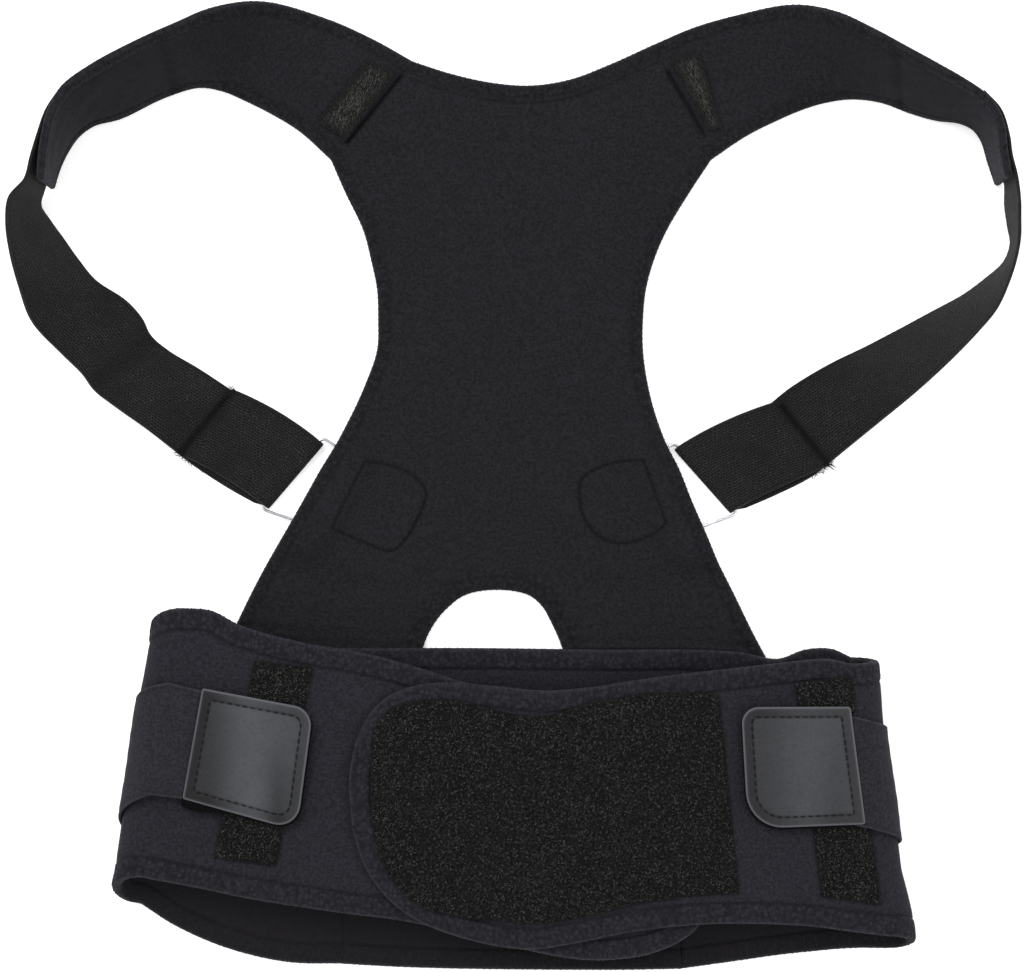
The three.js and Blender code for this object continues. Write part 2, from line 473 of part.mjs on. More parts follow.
// The fold: lines at its rear and front, joined by a half turn with this bulge.
const FOLD = {
  left: { bulge: 11.5, rear: { topX: -158.9, topY: -69.9, lowX: -178.1, lowY: -199.6, z: REAR_Z }, front: { topX: -156.8, topY: -58.6, lowX: -175.7, lowY: -184.7, z: REAR_Z + 20 } },
  right: { bulge: 11.5, rear: { topX: 162.8, topY: -81.9, lowX: 177.6, lowY: -221.2, z: REAR_Z }, front: { topX: 160.6, topY: -84.0, lowX: 175.2, lowY: -212.6, z: REAR_Z + 20 } },
};
const WING_FRONT = {
  left: [
    { topX: -142.2, topY: -60.2, lowX: -146.0, lowY: -190.4, z: 23.6 },
    { topX: -127.5, topY: -67.4, lowX: -126.2, lowY: -194.7, z: 23.2 },
    { topX: -97.9, topY: -74.2, lowX: -100.2, lowY: -199.0, z: 22.6 },
    { topX: -70.0, topY: -79.0, lowX: -76.6, lowY: -202.4, z: 22.2 },
    { topX: -42.1, topY: -86.6, lowX: -53.0, lowY: -205.4, z: 22.0 },
    { topX: -17.9, topY: -94.2, lowX: -24.0, lowY: -211.6, z: 22.0 },
    { topX: 8.5, topY: -99.6, lowX: 9.0, lowY: -219.9, z: 22.0 },
    { topX: 36.9, topY: -104.6, lowX: 32.8, lowY: -223.9, z: 22.2 },
    { topX: 60.5, topY: -110.7, lowX: 50.2, lowY: -223.7, z: 22.4 },
    { topX: 77.1, topY: -118.7, lowX: 65.9, lowY: -221.0, z: 22.6 },
    { topX: 88.9, topY: -130.5, lowX: 79.1, lowY: -215.5, z: 22.8 },
    { topX: 94.5, topY: -144.7, lowX: 88.0, lowY: -208.3, z: 23.0 },
    { topX: 96.4, topY: -158.9, lowX: 92.7, lowY: -197.0, z: 23.0 },
  ],
  right: [
    { topX: 149.5, topY: -81.7, lowX: 157.3, lowY: -210.2, z: 24.4 },
    { topX: 138.7, topY: -82.2, lowX: 144.8, lowY: -208.2, z: 25.0 },
    { topX: 121.7, topY: -84.0, lowX: 126.3, lowY: -206.8, z: 25.9 },
    { topX: 105.1, topY: -85.8, lowX: 108.0, lowY: -206.3, z: 27.0 },
    { topX: 87.6, topY: -87.6, lowX: 89.1, lowY: -206.6, z: 27.7 },
    { topX: 61.3, topY: -91.0, lowX: 58.0, lowY: -210.0, z: 27.2 },
    { topX: 37.2, topY: -94.8, lowX: 33.8, lowY: -214.9, z: 26.9 },
    { topX: 15.6, topY: -96.4, lowX: 9.0, lowY: -218.4, z: 26.7 },
    { topX: -5.7, topY: -94.6, lowX: -14.6, lowY: -215.4, z: 26.6 },
    { topX: -31.1, topY: -92.6, lowX: -40.8, lowY: -206.9, z: 26.6 },
    { topX: -45.7, topY: -94.0, lowX: -54.2, lowY: -198.6, z: 26.7 },
    { topX: -57.1, topY: -98.2, lowX: -63.2, lowY: -189.4, z: 26.8 },
    { topX: -66.6, topY: -106.4, lowX: -70.3, lowY: -177.6, z: 26.9 },
    { topX: -73.4, topY: -119.6, lowX: -75.0, lowY: -162.4, z: 27.0 },
    { topX: -76.8, topY: -134.9, lowX: -76.8, lowY: -146.0, z: 27.0 },
  ],
};
const ACROSS = [0, 0.1, 0.2, 0.4, 0.6, 0.8, 1];
const edges = (row) => ({ a: V(row.topX, row.topY, row.z), b: V(row.lowX, row.lowY, row.z) });
// Only the rear layer rises, over the ends of the panel's legs.
const overLegs = (p) => (p.z < REAR_Z + 1 ? LEG_RISE * step(LEG_END_Y - 20, LEG_END_Y - 7, p.y) : 0);

const wings = {};
for (const side of ['left', 'right']) {
  const { rear, front, bulge } = FOLD[side], away = side === 'left' ? -1 : 1;
  const from = edges(rear), to = edges(front), turn = [];
  for (let k = 0; k <= 8; k++) {
    const angle = (Math.PI * k) / 8, t = (1 - Math.cos(angle)) / 2;
    const s = { a: from.a.clone().lerp(to.a, t), b: from.b.clone().lerp(to.b, t) };
    s.a.x += away * bulge * Math.sin(angle); s.b.x += away * bulge * Math.sin(angle);
    turn.push(s);
  }
  const back = smoothStrip([...WING_REAR[side].map(edges), from], 30).slice(0, -1);
  const ahead = smoothStrip([to, ...WING_FRONT[side].map(edges)], 30).slice(1);
  const samples = [...back, ...turn, ...ahead];
  wings[side] = { samples, normals: stripNormals(samples), first: back.length, last: back.length + turn.length - 1 };
  // normals point to the outside of the belt
  const n = wings[side].normals;
  if (n[back.length + 4].x * away < 0) n.forEach((v) => v.negate());
  add(`belt_wing_${side}`, stripSolid(samples, BELT_T, ACROSS, overLegs), NEOPRENE);
}
{
  const rows = [
    { topX: -REAR_HALF, topY: -77.6, lowX: -REAR_HALF, lowY: -228.7, z: REAR_Z },
    { topX: -54, topY: -77.5, lowX: -54, lowY: -230.2, z: REAR_Z },
    { topX: -27, topY: -77.4, lowX: -27, lowY: -231.0, z: REAR_Z },
    { topX: 0, topY: -77.6, lowX: 0, lowY: -231.4, z: REAR_Z },
    { topX: 27, topY: -78.0, lowX: 27, lowY: -231.6, z: REAR_Z },
    { topX: 54, topY: -78.2, lowX: 54, lowY: -231.6, z: REAR_Z },
    { topX: REAR_HALF, topY: -78.0, lowX: REAR_HALF, lowY: -231.1, z: REAR_Z },
  ];
  add('belt_back', stripSolid(rows.map(edges), BELT_T, ACROSS, overLegs), NEOPRENE);
}

// Height of a wing's mid-surface on the front, by x.
const frontTable = (side) => WING_FRONT[side].map((r) => ({ x: (r.topX + r.lowX) / 2, z: r.z })).sort((p, q) => p.x - q.x);
const frontZ = { left: frontTable('left'), right: frontTable('right') };
const onWing = (side, rows, lift, maxStep, across) => {
  const stations = rows.map((r) => ({
    a: V(r.topX, r.topY, lookUp(frontZ[side], 'x', 'z', r.topX) + lift),
    b: V(r.lowX, r.lowY, lookUp(frontZ[side], 'x', 'z', r.lowX) + lift),
  }));
  return smoothStrip(stations, maxStep);
};

// Loop-pile patches on the outer face of the wings.
const PILE_LIFT = BELT_T / 2 + GAP + PILE_T / 2 + 0.15;
add('closure_patch', stripSolid(onWing('right', [
  { topX: 97.4, topY: -98.3, lowX: 107.0, lowY: -191.7 },
  { topX: 80.1, topY: -97.2, lowX: 81.7, lowY: -193.3 },
  { topX: 61.2, topY: -98.1, lowX: 60.6, lowY: -196.4 },
  { topX: 39.9, topY: -101.4, lowX: 39.4, lowY: -201.8 },
  { topX: 13.2, topY: -108.4, lowX: 13.5, lowY: -205.9 },
  { topX: -5.6, topY: -105.9, lowX: -3.9, lowY: -204.9 },
  { topX: -23.2, topY: -101.0, lowX: -24.2, lowY: -203.2 },
  { topX: -42.9, topY: -100.7, lowX: -43.9, lowY: -197.3 },
  { topX: -57.4, topY: -105.4, lowX: -58.4, lowY: -182.8 },
  { topX: -65.4, topY: -115.3, lowX: -66.4, lowY: -163.5 },
  { topX: -70.6, topY: -130.3, lowX: -70.8, lowY: -144.7 },
], PILE_LIFT, 20), PILE_T, [0, 0.33, 0.67, 1]), PILE);
// A narrow strip whose long edges are cut across so that it follows the wing.
function stripPatch(side, top, low) {
  const samples = [];
  for (let k = 0; k <= 4; k++) {
    const x1 = mix(top[0].x, top[1].x, k / 4), x2 = mix(low[0].x, low[1].x, k / 4);
    samples.push({
      a: V(x1, mix(top[0].y, top[1].y, k / 4), lookUp(frontZ[side], 'x', 'z', x1) + PILE_LIFT),
      b: V(x2, mix(low[0].y, low[1].y, k / 4), lookUp(frontZ[side], 'x', 'z', x2) + PILE_LIFT),
    });
  }
  return stripSolid(samples, PILE_T, [0, 0.5, 1]);
}
add('wing_patch_left', stripPatch('left', [V(-123.2, -82.6), V(-96.3, -85.4)], [V(-140.6, -175.5), V(-111.4, -179.3)]), PILE);
add('wing_patch_right', stripPatch('right', [V(133.3, -93.3), V(158.0, -90.6)], [V(145.2, -192.4), V(170.4, -197.0)]), PILE);

// Elastic side bands: they follow the belt from its rear, round the fold, to the front.
// share: where the band's edges stand in the wing's height.
const BAND = {
  left: { rearX: -58, rear: [0.36, 0.72], fold: [0.305, 0.76], front: [0.275, 0.69], endTop: V(-118.0, -103.2, 0), endLow: V(-124.5, -151.8, 0) },
  right: { rearX: 58, rear: [0.3, 0.66], fold: [0.25, 0.66], front: [0.19, 0.6], endTop: V(124.0, -107.6, 0), endLow: V(128.6, -155.0, 0) },
};
const BAND_OUT = BELT_T / 2 + GAP + BAND_T / 2;
for (const side of ['left', 'right']) {
  const { samples, normals, first, last } = wings[side], band = BAND[side];
  const pick = (k, shares, out) => {
    const s = samples[k];
    return { a: s.a.clone().lerp(s.b, shares[0]).addScaledVector(normals[k], out), b: s.a.clone().lerp(s.b, shares[1]).addScaledVector(normals[k], out) };
  };
  const list = [];
  const start = pick(0, band.rear, 0);
  start.a.x = start.b.x = band.rearX; start.a.z = start.b.z = BAND_T / 2;
  list.push(start);
  for (let k = 0; k < first; k++) {
    const s = pick(k, band.rear.map((v, m) => mix(v, band.fold[m], k / first)), 0);
    s.a.z = s.b.z = BAND_T / 2;
    list.push(s);
  }
  // round the fold, rising over the pile strip and under the tab
  const over = PILE_LIFT + PILE_T / 2 + GAP + BAND_T / 2 + 0.1;
  for (let k = first; k <= last; k++) {
    const t = (k - first) / (last - first);
    list.push(pick(k, band.fold.map((v, m) => mix(v, band.front[m], t * t)), mix(BAND_OUT, over, step(0.4, 0.9, t))));
  }
  const lastRow = list[list.length - 1];
  for (const t of [0.2, 0.4, 0.7, 1]) {
    const a = lastRow.a.clone().lerp(band.endTop, t), b = lastRow.b.clone().lerp(band.endLow, t);
    a.z = lookUp(frontZ[side], 'x', 'z', a.x) + over; b.z = lookUp(frontZ[side], 'x', 'z', b.x) + over;
    list.push({ a, b });
  }
  add(`side_band_${side}`, stripSolid(list, BAND_T, [0, 0.5, 1]), ELASTIC);
}

// Leatherette tabs on the ends of the side bands.
const TAB_LIFT = PILE_LIFT + PILE_T / 2 + GAP + BAND_T + GAP + LEATHER_T / 2 + 0.25;
add('band_tab_left', stripSolid(onWing('left', [
  { topX: -145.0, topY: -94.6, lowX: -155.8, lowY: -147.3 },
  { topX: -130.4, topY: -97.4, lowX: -139.8, lowY: -152.4 },
  { topX: -116.3, topY: -100.3, lowX: -125.7, lowY: -157.0 },
  { topX: -105.0, topY: -102.6, lowX: -113.6, lowY: -160.2 },
  { topX: -98.9, topY: -105.2, lowX: -105.9, lowY: -159.4 },
  { topX: -95.4, topY: -109.8, lowX: -101.3, lowY: -155.2 },
], TAB_LIFT, 20), LEATHER_T, [0, 0.5, 1]), LEATHERETTE);
add('band_tab_right', stripSolid(onWing('right', [
  { topX: 108.3, topY: -112.4, lowX: 110.0, lowY: -142.7 },
  { topX: 110.4, topY: -107.3, lowX: 112.6, lowY: -151.9 },
  { topX: 115.2, topY: -104.1, lowX: 119.3, lowY: -158.6 },
  { topX: 126.0, topY: -103.6, lowX: 130.7, lowY: -160.5 },
  { topX: 142.4, topY: -103.8, lowX: 148.5, lowY: -159.8 },
  { topX: 159.4, topY: -103.9, lowX: 166.4, lowY: -159.0 },
], TAB_LIFT, 20), LEATHER_T, [0, 0.5, 1]), LEATHERETTE);

export default group;
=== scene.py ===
# Posture corrector: detailed visual pieces around the imported model.
# Lengths in this script are millimetres in the drafting frame of the tables below;
# build() turns them into metres in the frame of the model.
import math
import bpy
import numpy as np
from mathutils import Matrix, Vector
from mathutils.geometry import delaunay_2d_cdt


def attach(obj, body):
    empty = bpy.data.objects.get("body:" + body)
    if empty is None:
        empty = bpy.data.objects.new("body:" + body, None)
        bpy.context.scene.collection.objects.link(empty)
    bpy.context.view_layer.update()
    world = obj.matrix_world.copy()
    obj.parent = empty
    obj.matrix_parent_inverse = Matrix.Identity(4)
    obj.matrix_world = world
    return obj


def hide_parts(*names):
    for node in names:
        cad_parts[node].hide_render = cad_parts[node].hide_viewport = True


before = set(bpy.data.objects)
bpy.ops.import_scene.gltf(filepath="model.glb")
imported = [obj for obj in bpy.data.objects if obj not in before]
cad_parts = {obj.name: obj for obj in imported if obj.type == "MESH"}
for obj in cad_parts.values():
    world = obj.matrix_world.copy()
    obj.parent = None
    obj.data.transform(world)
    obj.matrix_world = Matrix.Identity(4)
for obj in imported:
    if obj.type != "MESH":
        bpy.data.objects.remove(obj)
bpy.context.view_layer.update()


rng = np.random.default_rng(20)


def vec(*c):
    return np.array(c, float)


# ---------------------------------------------------------------- named sizes
GAP = 0.3
PANEL_T = 3.5
SHOULDER_T = 3.5
WEBBING_T = 1.6
WEBBING_W = 40
BELT_T = 4.0
BAND_T = 1.6
PILE_T = 1.2
VELVET_T = 0.8
LEATHER_T = 1.2
TAB_T = 1.0
WIRE_R = 0.9
REAR_Z = BAND_T + GAP + BELT_T / 2
LEG_RISE = PANEL_T + GAP - (BAND_T + GAP)
LEG_END_Y = -86
TAB_WIRE_Z = TAB_T + GAP + WIRE_R
STRAP_WIRE_Z = WEBBING_T + GAP + WIRE_R
FOLD_R = WIRE_R + GAP + WEBBING_T / 2
FOLD_REACH = FOLD_R + WEBBING_T / 2
OVERHANG = 2.3
REAR_HALF = 81.1
PILE_LIFT = BELT_T / 2 + GAP + PILE_T / 2 + 0.15
BAND_OUT = BELT_T / 2 + GAP + BAND_T / 2
TAB_LIFT = PILE_LIFT + PILE_T / 2 + GAP + BAND_T + GAP + LEATHER_T / 2 + 0.25
ORIGIN = vec(0.35, -0.3, 0)
SIDES = ("left", "right")

# ---------------------------------------------------------------- tables
FOLD_BACK = dict(
  left= dict(fold= dict(topX= -90.0, topY= 19.9, lowX= -116.6, lowY= -11.2), end= dict(topX= -132.8, topY= 46.0, lowX= -158.9, lowY= 15.0)),
  right= dict(fold= dict(topX= 77.5, topY= 17.2, lowX= 104.6, lowY= -13.4), end= dict(topX= 126.2, topY= 40.4, lowX= 151.4, lowY= 9.4)),
)
INNER_BAR = dict(
  left= dict(B= vec(-80.1, 15.8, TAB_WIRE_Z), C= vec(-99.7, -17.7, TAB_WIRE_Z)),
  right= dict(B= vec(69.5, 14.9, TAB_WIRE_Z), C= vec(85.3, -21.6, TAB_WIRE_Z)),
)
TAB_OUTLINES = dict(
  left= [
    dict(topX= -84.2, topY= 10.6, lowX= -97.2, lowY= -11.6),
    dict(topX= -71.2, topY= 12.6, lowX= -86.6, lowY= -21.4),
    dict(topX= -58.6, topY= 11.4, lowX= -70.7, lowY= -28.2),
    dict(topX= -45.2, topY= 5.2, lowX= -56.8, lowY= -32.6),
    dict(topX= -40.2, topY= -2.6, lowX= -50.6, lowY= -28.0),
  ],
  right= [
    dict(topX= 72.2, topY= 9.6, lowX= 82.6, lowY= -14.4),
    dict(topX= 62.9, topY= 13.2, lowX= 74.6, lowY= -19.4),
    dict(topX= 53.6, topY= 13.3, lowX= 66.3, lowY= -25.4),
    dict(topX= 41.8, topY= 10.6, lowX= 52.6, lowY= -28.8),
    dict(topX= 32.0, topY= 4.6, lowX= 42.2, lowY= -26.2),
    dict(topX= 31.0, topY= -6.0, lowX= 35.4, lowY= -19.4),
  ],
)
PANEL_ROWS = [
  dict(y= 156.3, left= -86.8, right= 95.4),
  dict(y= 141.0, left= -80.1, right= 85.3),
  dict(y= 122.7, left= -71.4, right= 74.3),
  dict(y= 108.4, left= -67.6, right= 68.1),
  dict(y= 94.0, left= -64.7, right= 64.2),
  dict(y= 79.6, left= -64.2, right= 62.8),
  dict(y= 65.2, left= -64.7, right= 62.8),
  dict(y= 50.8, left= -69.5, right= 64.7),
  dict(y= 36.4, left= -75.8, right= 68.1),
  dict(y= 22.1, left= -82.9, right= 72.9),
  dict(y= 7.7, left= -91.6, right= 80.1),
  dict(y= -6.7, left= -99.7, right= 85.8),
  dict(y= -21.1, left= -107.9, right= 92.1),
  dict(y= -35.5, left= -116.5, right= 98.3),
  dict(y= -50.3, left= -124.4, right= 105.7),
  dict(y= -71.4, left= -134.7, right= 116.0),
  dict(y= LEG_END_Y, left= -142.4, right= 123.8),
]
ARCH_ROWS = [
  dict(y= -50.3, left= -14.4, right= 0.0),
  dict(y= -53.0, left= -23.8, right= 9.2),
  dict(y= -58.5, left= -30.9, right= 15.0),
  dict(y= -64.2, left= -36.0, right= 18.2),
  dict(y= -71.4, left= -40.3, right= 21.6),
  dict(y= -77.7, left= -42.7, right= 24.0),
  dict(y= LEG_END_Y, left= -45.4, right= 25.6),
]
NECK = [
  dict(x= -47.4, y= 203.5), dict(x= -29.7, y= 197.8), dict(x= -10.5, y= 193.5), dict(x= 8.6, y= 192.0),
  dict(x= 27.8, y= 194.9), dict(x= 46.9, y= 202.1), dict(x= 67.0, y= 211.2),
]
SHOULDER = dict(
  left= [
    dict(x= -87.1, y= 156.2, dir= 50.6, width= 62.0, tilt= 0),
    dict(x= -101.6, y= 169.7, dir= 52.5, width= 56.5, tilt= 0),
    dict(x= -114.9, y= 178.0, dir= 60.0, width= 53.0, tilt= 0),
    dict(x= -128.0, y= 184.6, dir= 77.0, width= 48.5, tilt= 14),
    dict(x= -139.1, y= 189.7, dir= 92.0, width= 47.5, tilt= 43),
    dict(x= -150.2, y= 191.6, dir= 106.0, width= 47.5, tilt= 58),
    dict(x= -167.0, y= 186.7, dir= 112.0, width= 47.3, tilt= 62),
    dict(x= -187.8, y= 176.8, dir= 115.0, width= 47.0, tilt= 63.5),
    dict(x= -200.2, y= 173.8, dir= 127.0, width= 46.5, tilt= 71.2),
    dict(x= -208.2, y= 168.6, dir= 141.0, width= 46.0, tilt= 78.6),
    dict(x= -213.8, y= 161.2, dir= 153.0, width= 46.0, tilt= 84.4),
    dict(x= -218.1, y= 152.6, dir= 160.0, width= 46.0, tilt= 88.6),
    dict(x= -221.2, y= 142.6, dir= 166.0, width= 46.0, tilt= 92),
  ],
  right= [
    dict(x= 95.7, y= 156.6, dir= 117.2, width= 62.0, tilt= 0),
    dict(x= 111.7, y= 167.3, dir= 115.5, width= 58.0, tilt= 0),
    dict(x= 124.7, y= 174.0, dir= 109.0, width= 54.5, tilt= 0),
    dict(x= 139.5, y= 180.4, dir= 98.0, width= 50.4, tilt= 13),
    dict(x= 151.5, y= 184.2, dir= 89.0, width= 48.5, tilt= 36.5),
    dict(x= 163.3, y= 186.0, dir= 80.0, width= 48.0, tilt= 54),
    dict(x= 177.1, y= 184.6, dir= 74.0, width= 47.5, tilt= 63.6),
    dict(x= 191.4, y= 179.5, dir= 70.0, width= 47.0, tilt= 67.2),
    dict(x= 203.5, y= 176.3, dir= 65.0, width= 46.5, tilt= 71.8),
    dict(x= 214.4, y= 175.2, dir= 57.0, width= 46.0, tilt= 79),
    dict(x= 221.7, y= 172.0, dir= 46.0, width= 46.0, tilt= 84),
    dict(x= 226.3, y= 166.0, dir= 32.0, width= 46.0, tilt= 87.4),
    dict(x= 229.6, y= 155.8, dir= 22.0, width= 46.0, tilt= 90.4),
    dict(x= 233.5, y= 144.2, dir= 17.0, width= 46.0, tilt= 92.5),
  ],
)
ELASTIC_RUN = dict(
  left= [
    dict(x= -226.3, y= 134.6, dir= 178.0, width= WEBBING_W, tilt= 77),
    dict(x= -221.8, y= 127.4, dir= 194.0, width= WEBBING_W, tilt= 67),
    dict(x= -215.2, y= 118.6, dir= 203.0, width= WEBBING_W, tilt= 56),
    dict(x= -208.0, y= 108.6, dir= 210.0, width= WEBBING_W, tilt= 45),
    dict(x= -199.4, y= 98.6, dir= 216.5, width= WEBBING_W, tilt= 29),
    dict(x= -185.2, y= 89.2, dir= 221.5, width= WEBBING_W * 1.02, tilt= 14),
    dict(x= -177.4, y= 80.6, dir= 224.0, width= WEBBING_W, tilt= 14),
    dict(x= -173.2, y= 72.4, dir= 226.5, width= WEBBING_W * 0.98, tilt= 18),
    dict(x= -165.0, y= 65.2, dir= 228.5, width= WEBBING_W * 0.97, tilt= 20),
    dict(x= -149.6, y= 56.0, dir= 229.5, width= WEBBING_W * 0.98, tilt= 14),
  ],
  right= [
    dict(x= 236.9, y= 134.0, dir= 8.0, width= WEBBING_W, tilt= 89.5),
    dict(x= 238.4, y= 125.0, dir= -3.0, width= WEBBING_W, tilt= 91.5),
    dict(x= 239.6, y= 116.0, dir= -15.0, width= WEBBING_W, tilt= 93.5),
    dict(x= 236.4, y= 107.4, dir= -28.0, width= WEBBING_W, tilt= 91),
    dict(x= 228.0, y= 99.8, dir= -36.0, width= WEBBING_W, tilt= 82),
    dict(x= 217.0, y= 91.8, dir= -41.0, width= WEBBING_W, tilt= 71),
    dict(x= 204.4, y= 85.0, dir= -44.5, width= WEBBING_W, tilt= 62),
    dict(x= 188.8, y= 76.8, dir= -47.0, width= WEBBING_W, tilt= 52),
    dict(x= 171.2, y= 67.6, dir= -49.0, width= WEBBING_W, tilt= 41),
    dict(x= 151.4, y= 58.0, dir= -50.5, width= WEBBING_W, tilt= 26),
    dict(x= 134.0, y= 47.6, dir= -50.5, width= WEBBING_W, tilt= 8),
  ],
)
WING_REAR = dict(
  left= [
    dict(topX= -81.4, topY= -77.6, lowX= -81.4, lowY= -228.6, z= REAR_Z),
    dict(topX= -107.2, topY= -76.1, lowX= -107.2, lowY= -227.9, z= REAR_Z),
    dict(topX= -132.6, topY= -74.7, lowX= -136.0, lowY= -221.3, z= REAR_Z),
    dict(topX= -148.4, topY= -72.8, lowX= -160.9, lowY= -210.6, z= REAR_Z),
  ],
  right= [
    dict(topX= 81.4, topY= -78.0, lowX= 81.4, lowY= -231.0, z= REAR_Z),
    dict(topX= 109.2, topY= -79.4, lowX= 106.8, lowY= -227.4, z= REAR_Z),
    dict(topX= 127.0, topY= -82.6, lowX= 128.0, lowY= -224.4, z= REAR_Z),
    dict(topX= 140.0, topY= -78.2, lowX= 143.0, lowY= -222.8, z= REAR_Z),
    dict(topX= 153.0, topY= -77.8, lowX= 160.6, lowY= -221.2, z= REAR_Z),
  ],
) # The fold= lines at its rear and front, joined by a half turn with this bulge.
FOLD = dict(
  left= dict(bulge= 11.5, rear= dict(topX= -158.9, topY= -69.9, lowX= -178.1, lowY= -199.6, z= REAR_Z), front= dict(topX= -156.2, topY= -57.6, lowX= -175.7, lowY= -184.7, z= REAR_Z + 20)),
  right= dict(bulge= 11.5, rear= dict(topX= 162.8, topY= -81.9, lowX= 177.6, lowY= -221.2, z= REAR_Z), front= dict(topX= 160.6, topY= -84.0, lowX= 175.2, lowY= -212.6, z= REAR_Z + 20)),
)
WING_FRONT = dict(
  left= [
    dict(topX= -142.2, topY= -58.8, lowX= -146.0, lowY= -190.4, z= 23.6),
    dict(topX= -127.5, topY= -66.2, lowX= -126.2, lowY= -194.7, z= 23.2),
    dict(topX= -97.9, topY= -74.2, lowX= -100.2, lowY= -199.0, z= 22.6),
    dict(topX= -70.0, topY= -79.0, lowX= -76.6, lowY= -202.4, z= 22.2),
    dict(topX= -42.1, topY= -86.6, lowX= -53.0, lowY= -205.4, z= 22.0),
    dict(topX= -17.9, topY= -94.2, lowX= -24.0, lowY= -211.6, z= 22.0),
    dict(topX= 8.5, topY= -99.6, lowX= 9.0, lowY= -219.9, z= 22.0),
    dict(topX= 36.9, topY= -104.6, lowX= 32.8, lowY= -223.9, z= 22.2),
    dict(topX= 60.5, topY= -110.7, lowX= 50.2, lowY= -223.7, z= 22.4),
    dict(topX= 77.1, topY= -118.7, lowX= 65.9, lowY= -221.0, z= 22.6),
    dict(topX= 88.9, topY= -130.5, lowX= 79.1, lowY= -215.5, z= 22.8),
    dict(topX= 94.5, topY= -144.7, lowX= 88.0, lowY= -208.3, z= 23.0),
    dict(topX= 96.4, topY= -158.9, lowX= 92.7, lowY= -197.0, z= 23.0),
  ],
  right= [
    dict(topX= 149.5, topY= -81.7, lowX= 157.3, lowY= -210.2, z= 24.4),
    dict(topX= 138.7, topY= -82.2, lowX= 144.8, lowY= -208.2, z= 25.0),
    dict(topX= 121.7, topY= -84.0, lowX= 126.3, lowY= -206.8, z= 25.9),
    dict(topX= 105.1, topY= -85.8, lowX= 108.0, lowY= -206.3, z= 27.0),
    dict(topX= 87.6, topY= -87.6, lowX= 89.1, lowY= -206.6, z= 27.7),
    dict(topX= 61.3, topY= -91.0, lowX= 58.0, lowY= -210.0, z= 27.2),
    dict(topX= 37.2, topY= -94.8, lowX= 33.8, lowY= -214.9, z= 26.9),
    dict(topX= 15.6, topY= -96.4, lowX= 9.0, lowY= -218.4, z= 26.7),
    dict(topX= -5.7, topY= -94.6, lowX= -14.6, lowY= -215.4, z= 26.6),
    dict(topX= -31.1, topY= -92.6, lowX= -40.8, lowY= -206.9, z= 26.6),
    dict(topX= -45.7, topY= -94.0, lowX= -54.2, lowY= -198.6, z= 26.7),
    dict(topX= -57.1, topY= -98.2, lowX= -63.2, lowY= -189.4, z= 26.8),
    dict(topX= -66.6, topY= -106.4, lowX= -70.3, lowY= -177.6, z= 26.9),
    dict(topX= -73.4, topY= -119.6, lowX= -75.0, lowY= -162.4, z= 27.0),
    dict(topX= -76.8, topY= -134.9, lowX= -76.8, lowY= -146.0, z= 27.0),
  ],
)
BELT_BACK = [
  dict(topX= -REAR_HALF, topY= -77.6, lowX= -REAR_HALF, lowY= -228.7, z= REAR_Z),
  dict(topX= -54, topY= -77.5, lowX= -54, lowY= -230.2, z= REAR_Z),
  dict(topX= -27, topY= -77.4, lowX= -27, lowY= -231.0, z= REAR_Z),
  dict(topX= 0, topY= -77.6, lowX= 0, lowY= -231.4, z= REAR_Z),
  dict(topX= 27, topY= -78.0, lowX= 27, lowY= -231.6, z= REAR_Z),
  dict(topX= 54, topY= -78.2, lowX= 54, lowY= -231.6, z= REAR_Z),
  dict(topX= REAR_HALF, topY= -78.0, lowX= REAR_HALF, lowY= -231.1, z= REAR_Z),
]
CLOSURE = [
  dict(topX= 97.4, topY= -98.3, lowX= 107.0, lowY= -191.7),
  dict(topX= 80.1, topY= -97.2, lowX= 81.7, lowY= -193.3),
  dict(topX= 61.2, topY= -98.1, lowX= 60.6, lowY= -196.4),
  dict(topX= 39.9, topY= -101.4, lowX= 39.4, lowY= -201.8),
  dict(topX= 13.2, topY= -108.4, lowX= 13.5, lowY= -205.9),
  dict(topX= -5.6, topY= -105.9, lowX= -3.9, lowY= -204.9),
  dict(topX= -23.2, topY= -101.0, lowX= -24.2, lowY= -203.2),
  dict(topX= -42.9, topY= -100.7, lowX= -43.9, lowY= -197.3),
  dict(topX= -57.4, topY= -105.4, lowX= -58.4, lowY= -182.8),
  dict(topX= -64.6, topY= -114.0, lowX= -64.4, lowY= -166.5),
  dict(topX= -66.4, topY= -123.0, lowX= -66.2, lowY= -157.5),
]
BAND = dict(
  left= dict(rearX= -58, rear= [0.36, 0.72], fold= [0.305, 0.76], front= [0.275, 0.69], endTop= vec(-118.0, -103.2, 0), endLow= vec(-124.5, -151.8, 0)),
  right= dict(rearX= 58, rear= [0.3, 0.66], fold= [0.25, 0.66], front= [0.19, 0.6], endTop= vec(124.0, -107.6, 0), endLow= vec(128.6, -155.0, 0)),
)
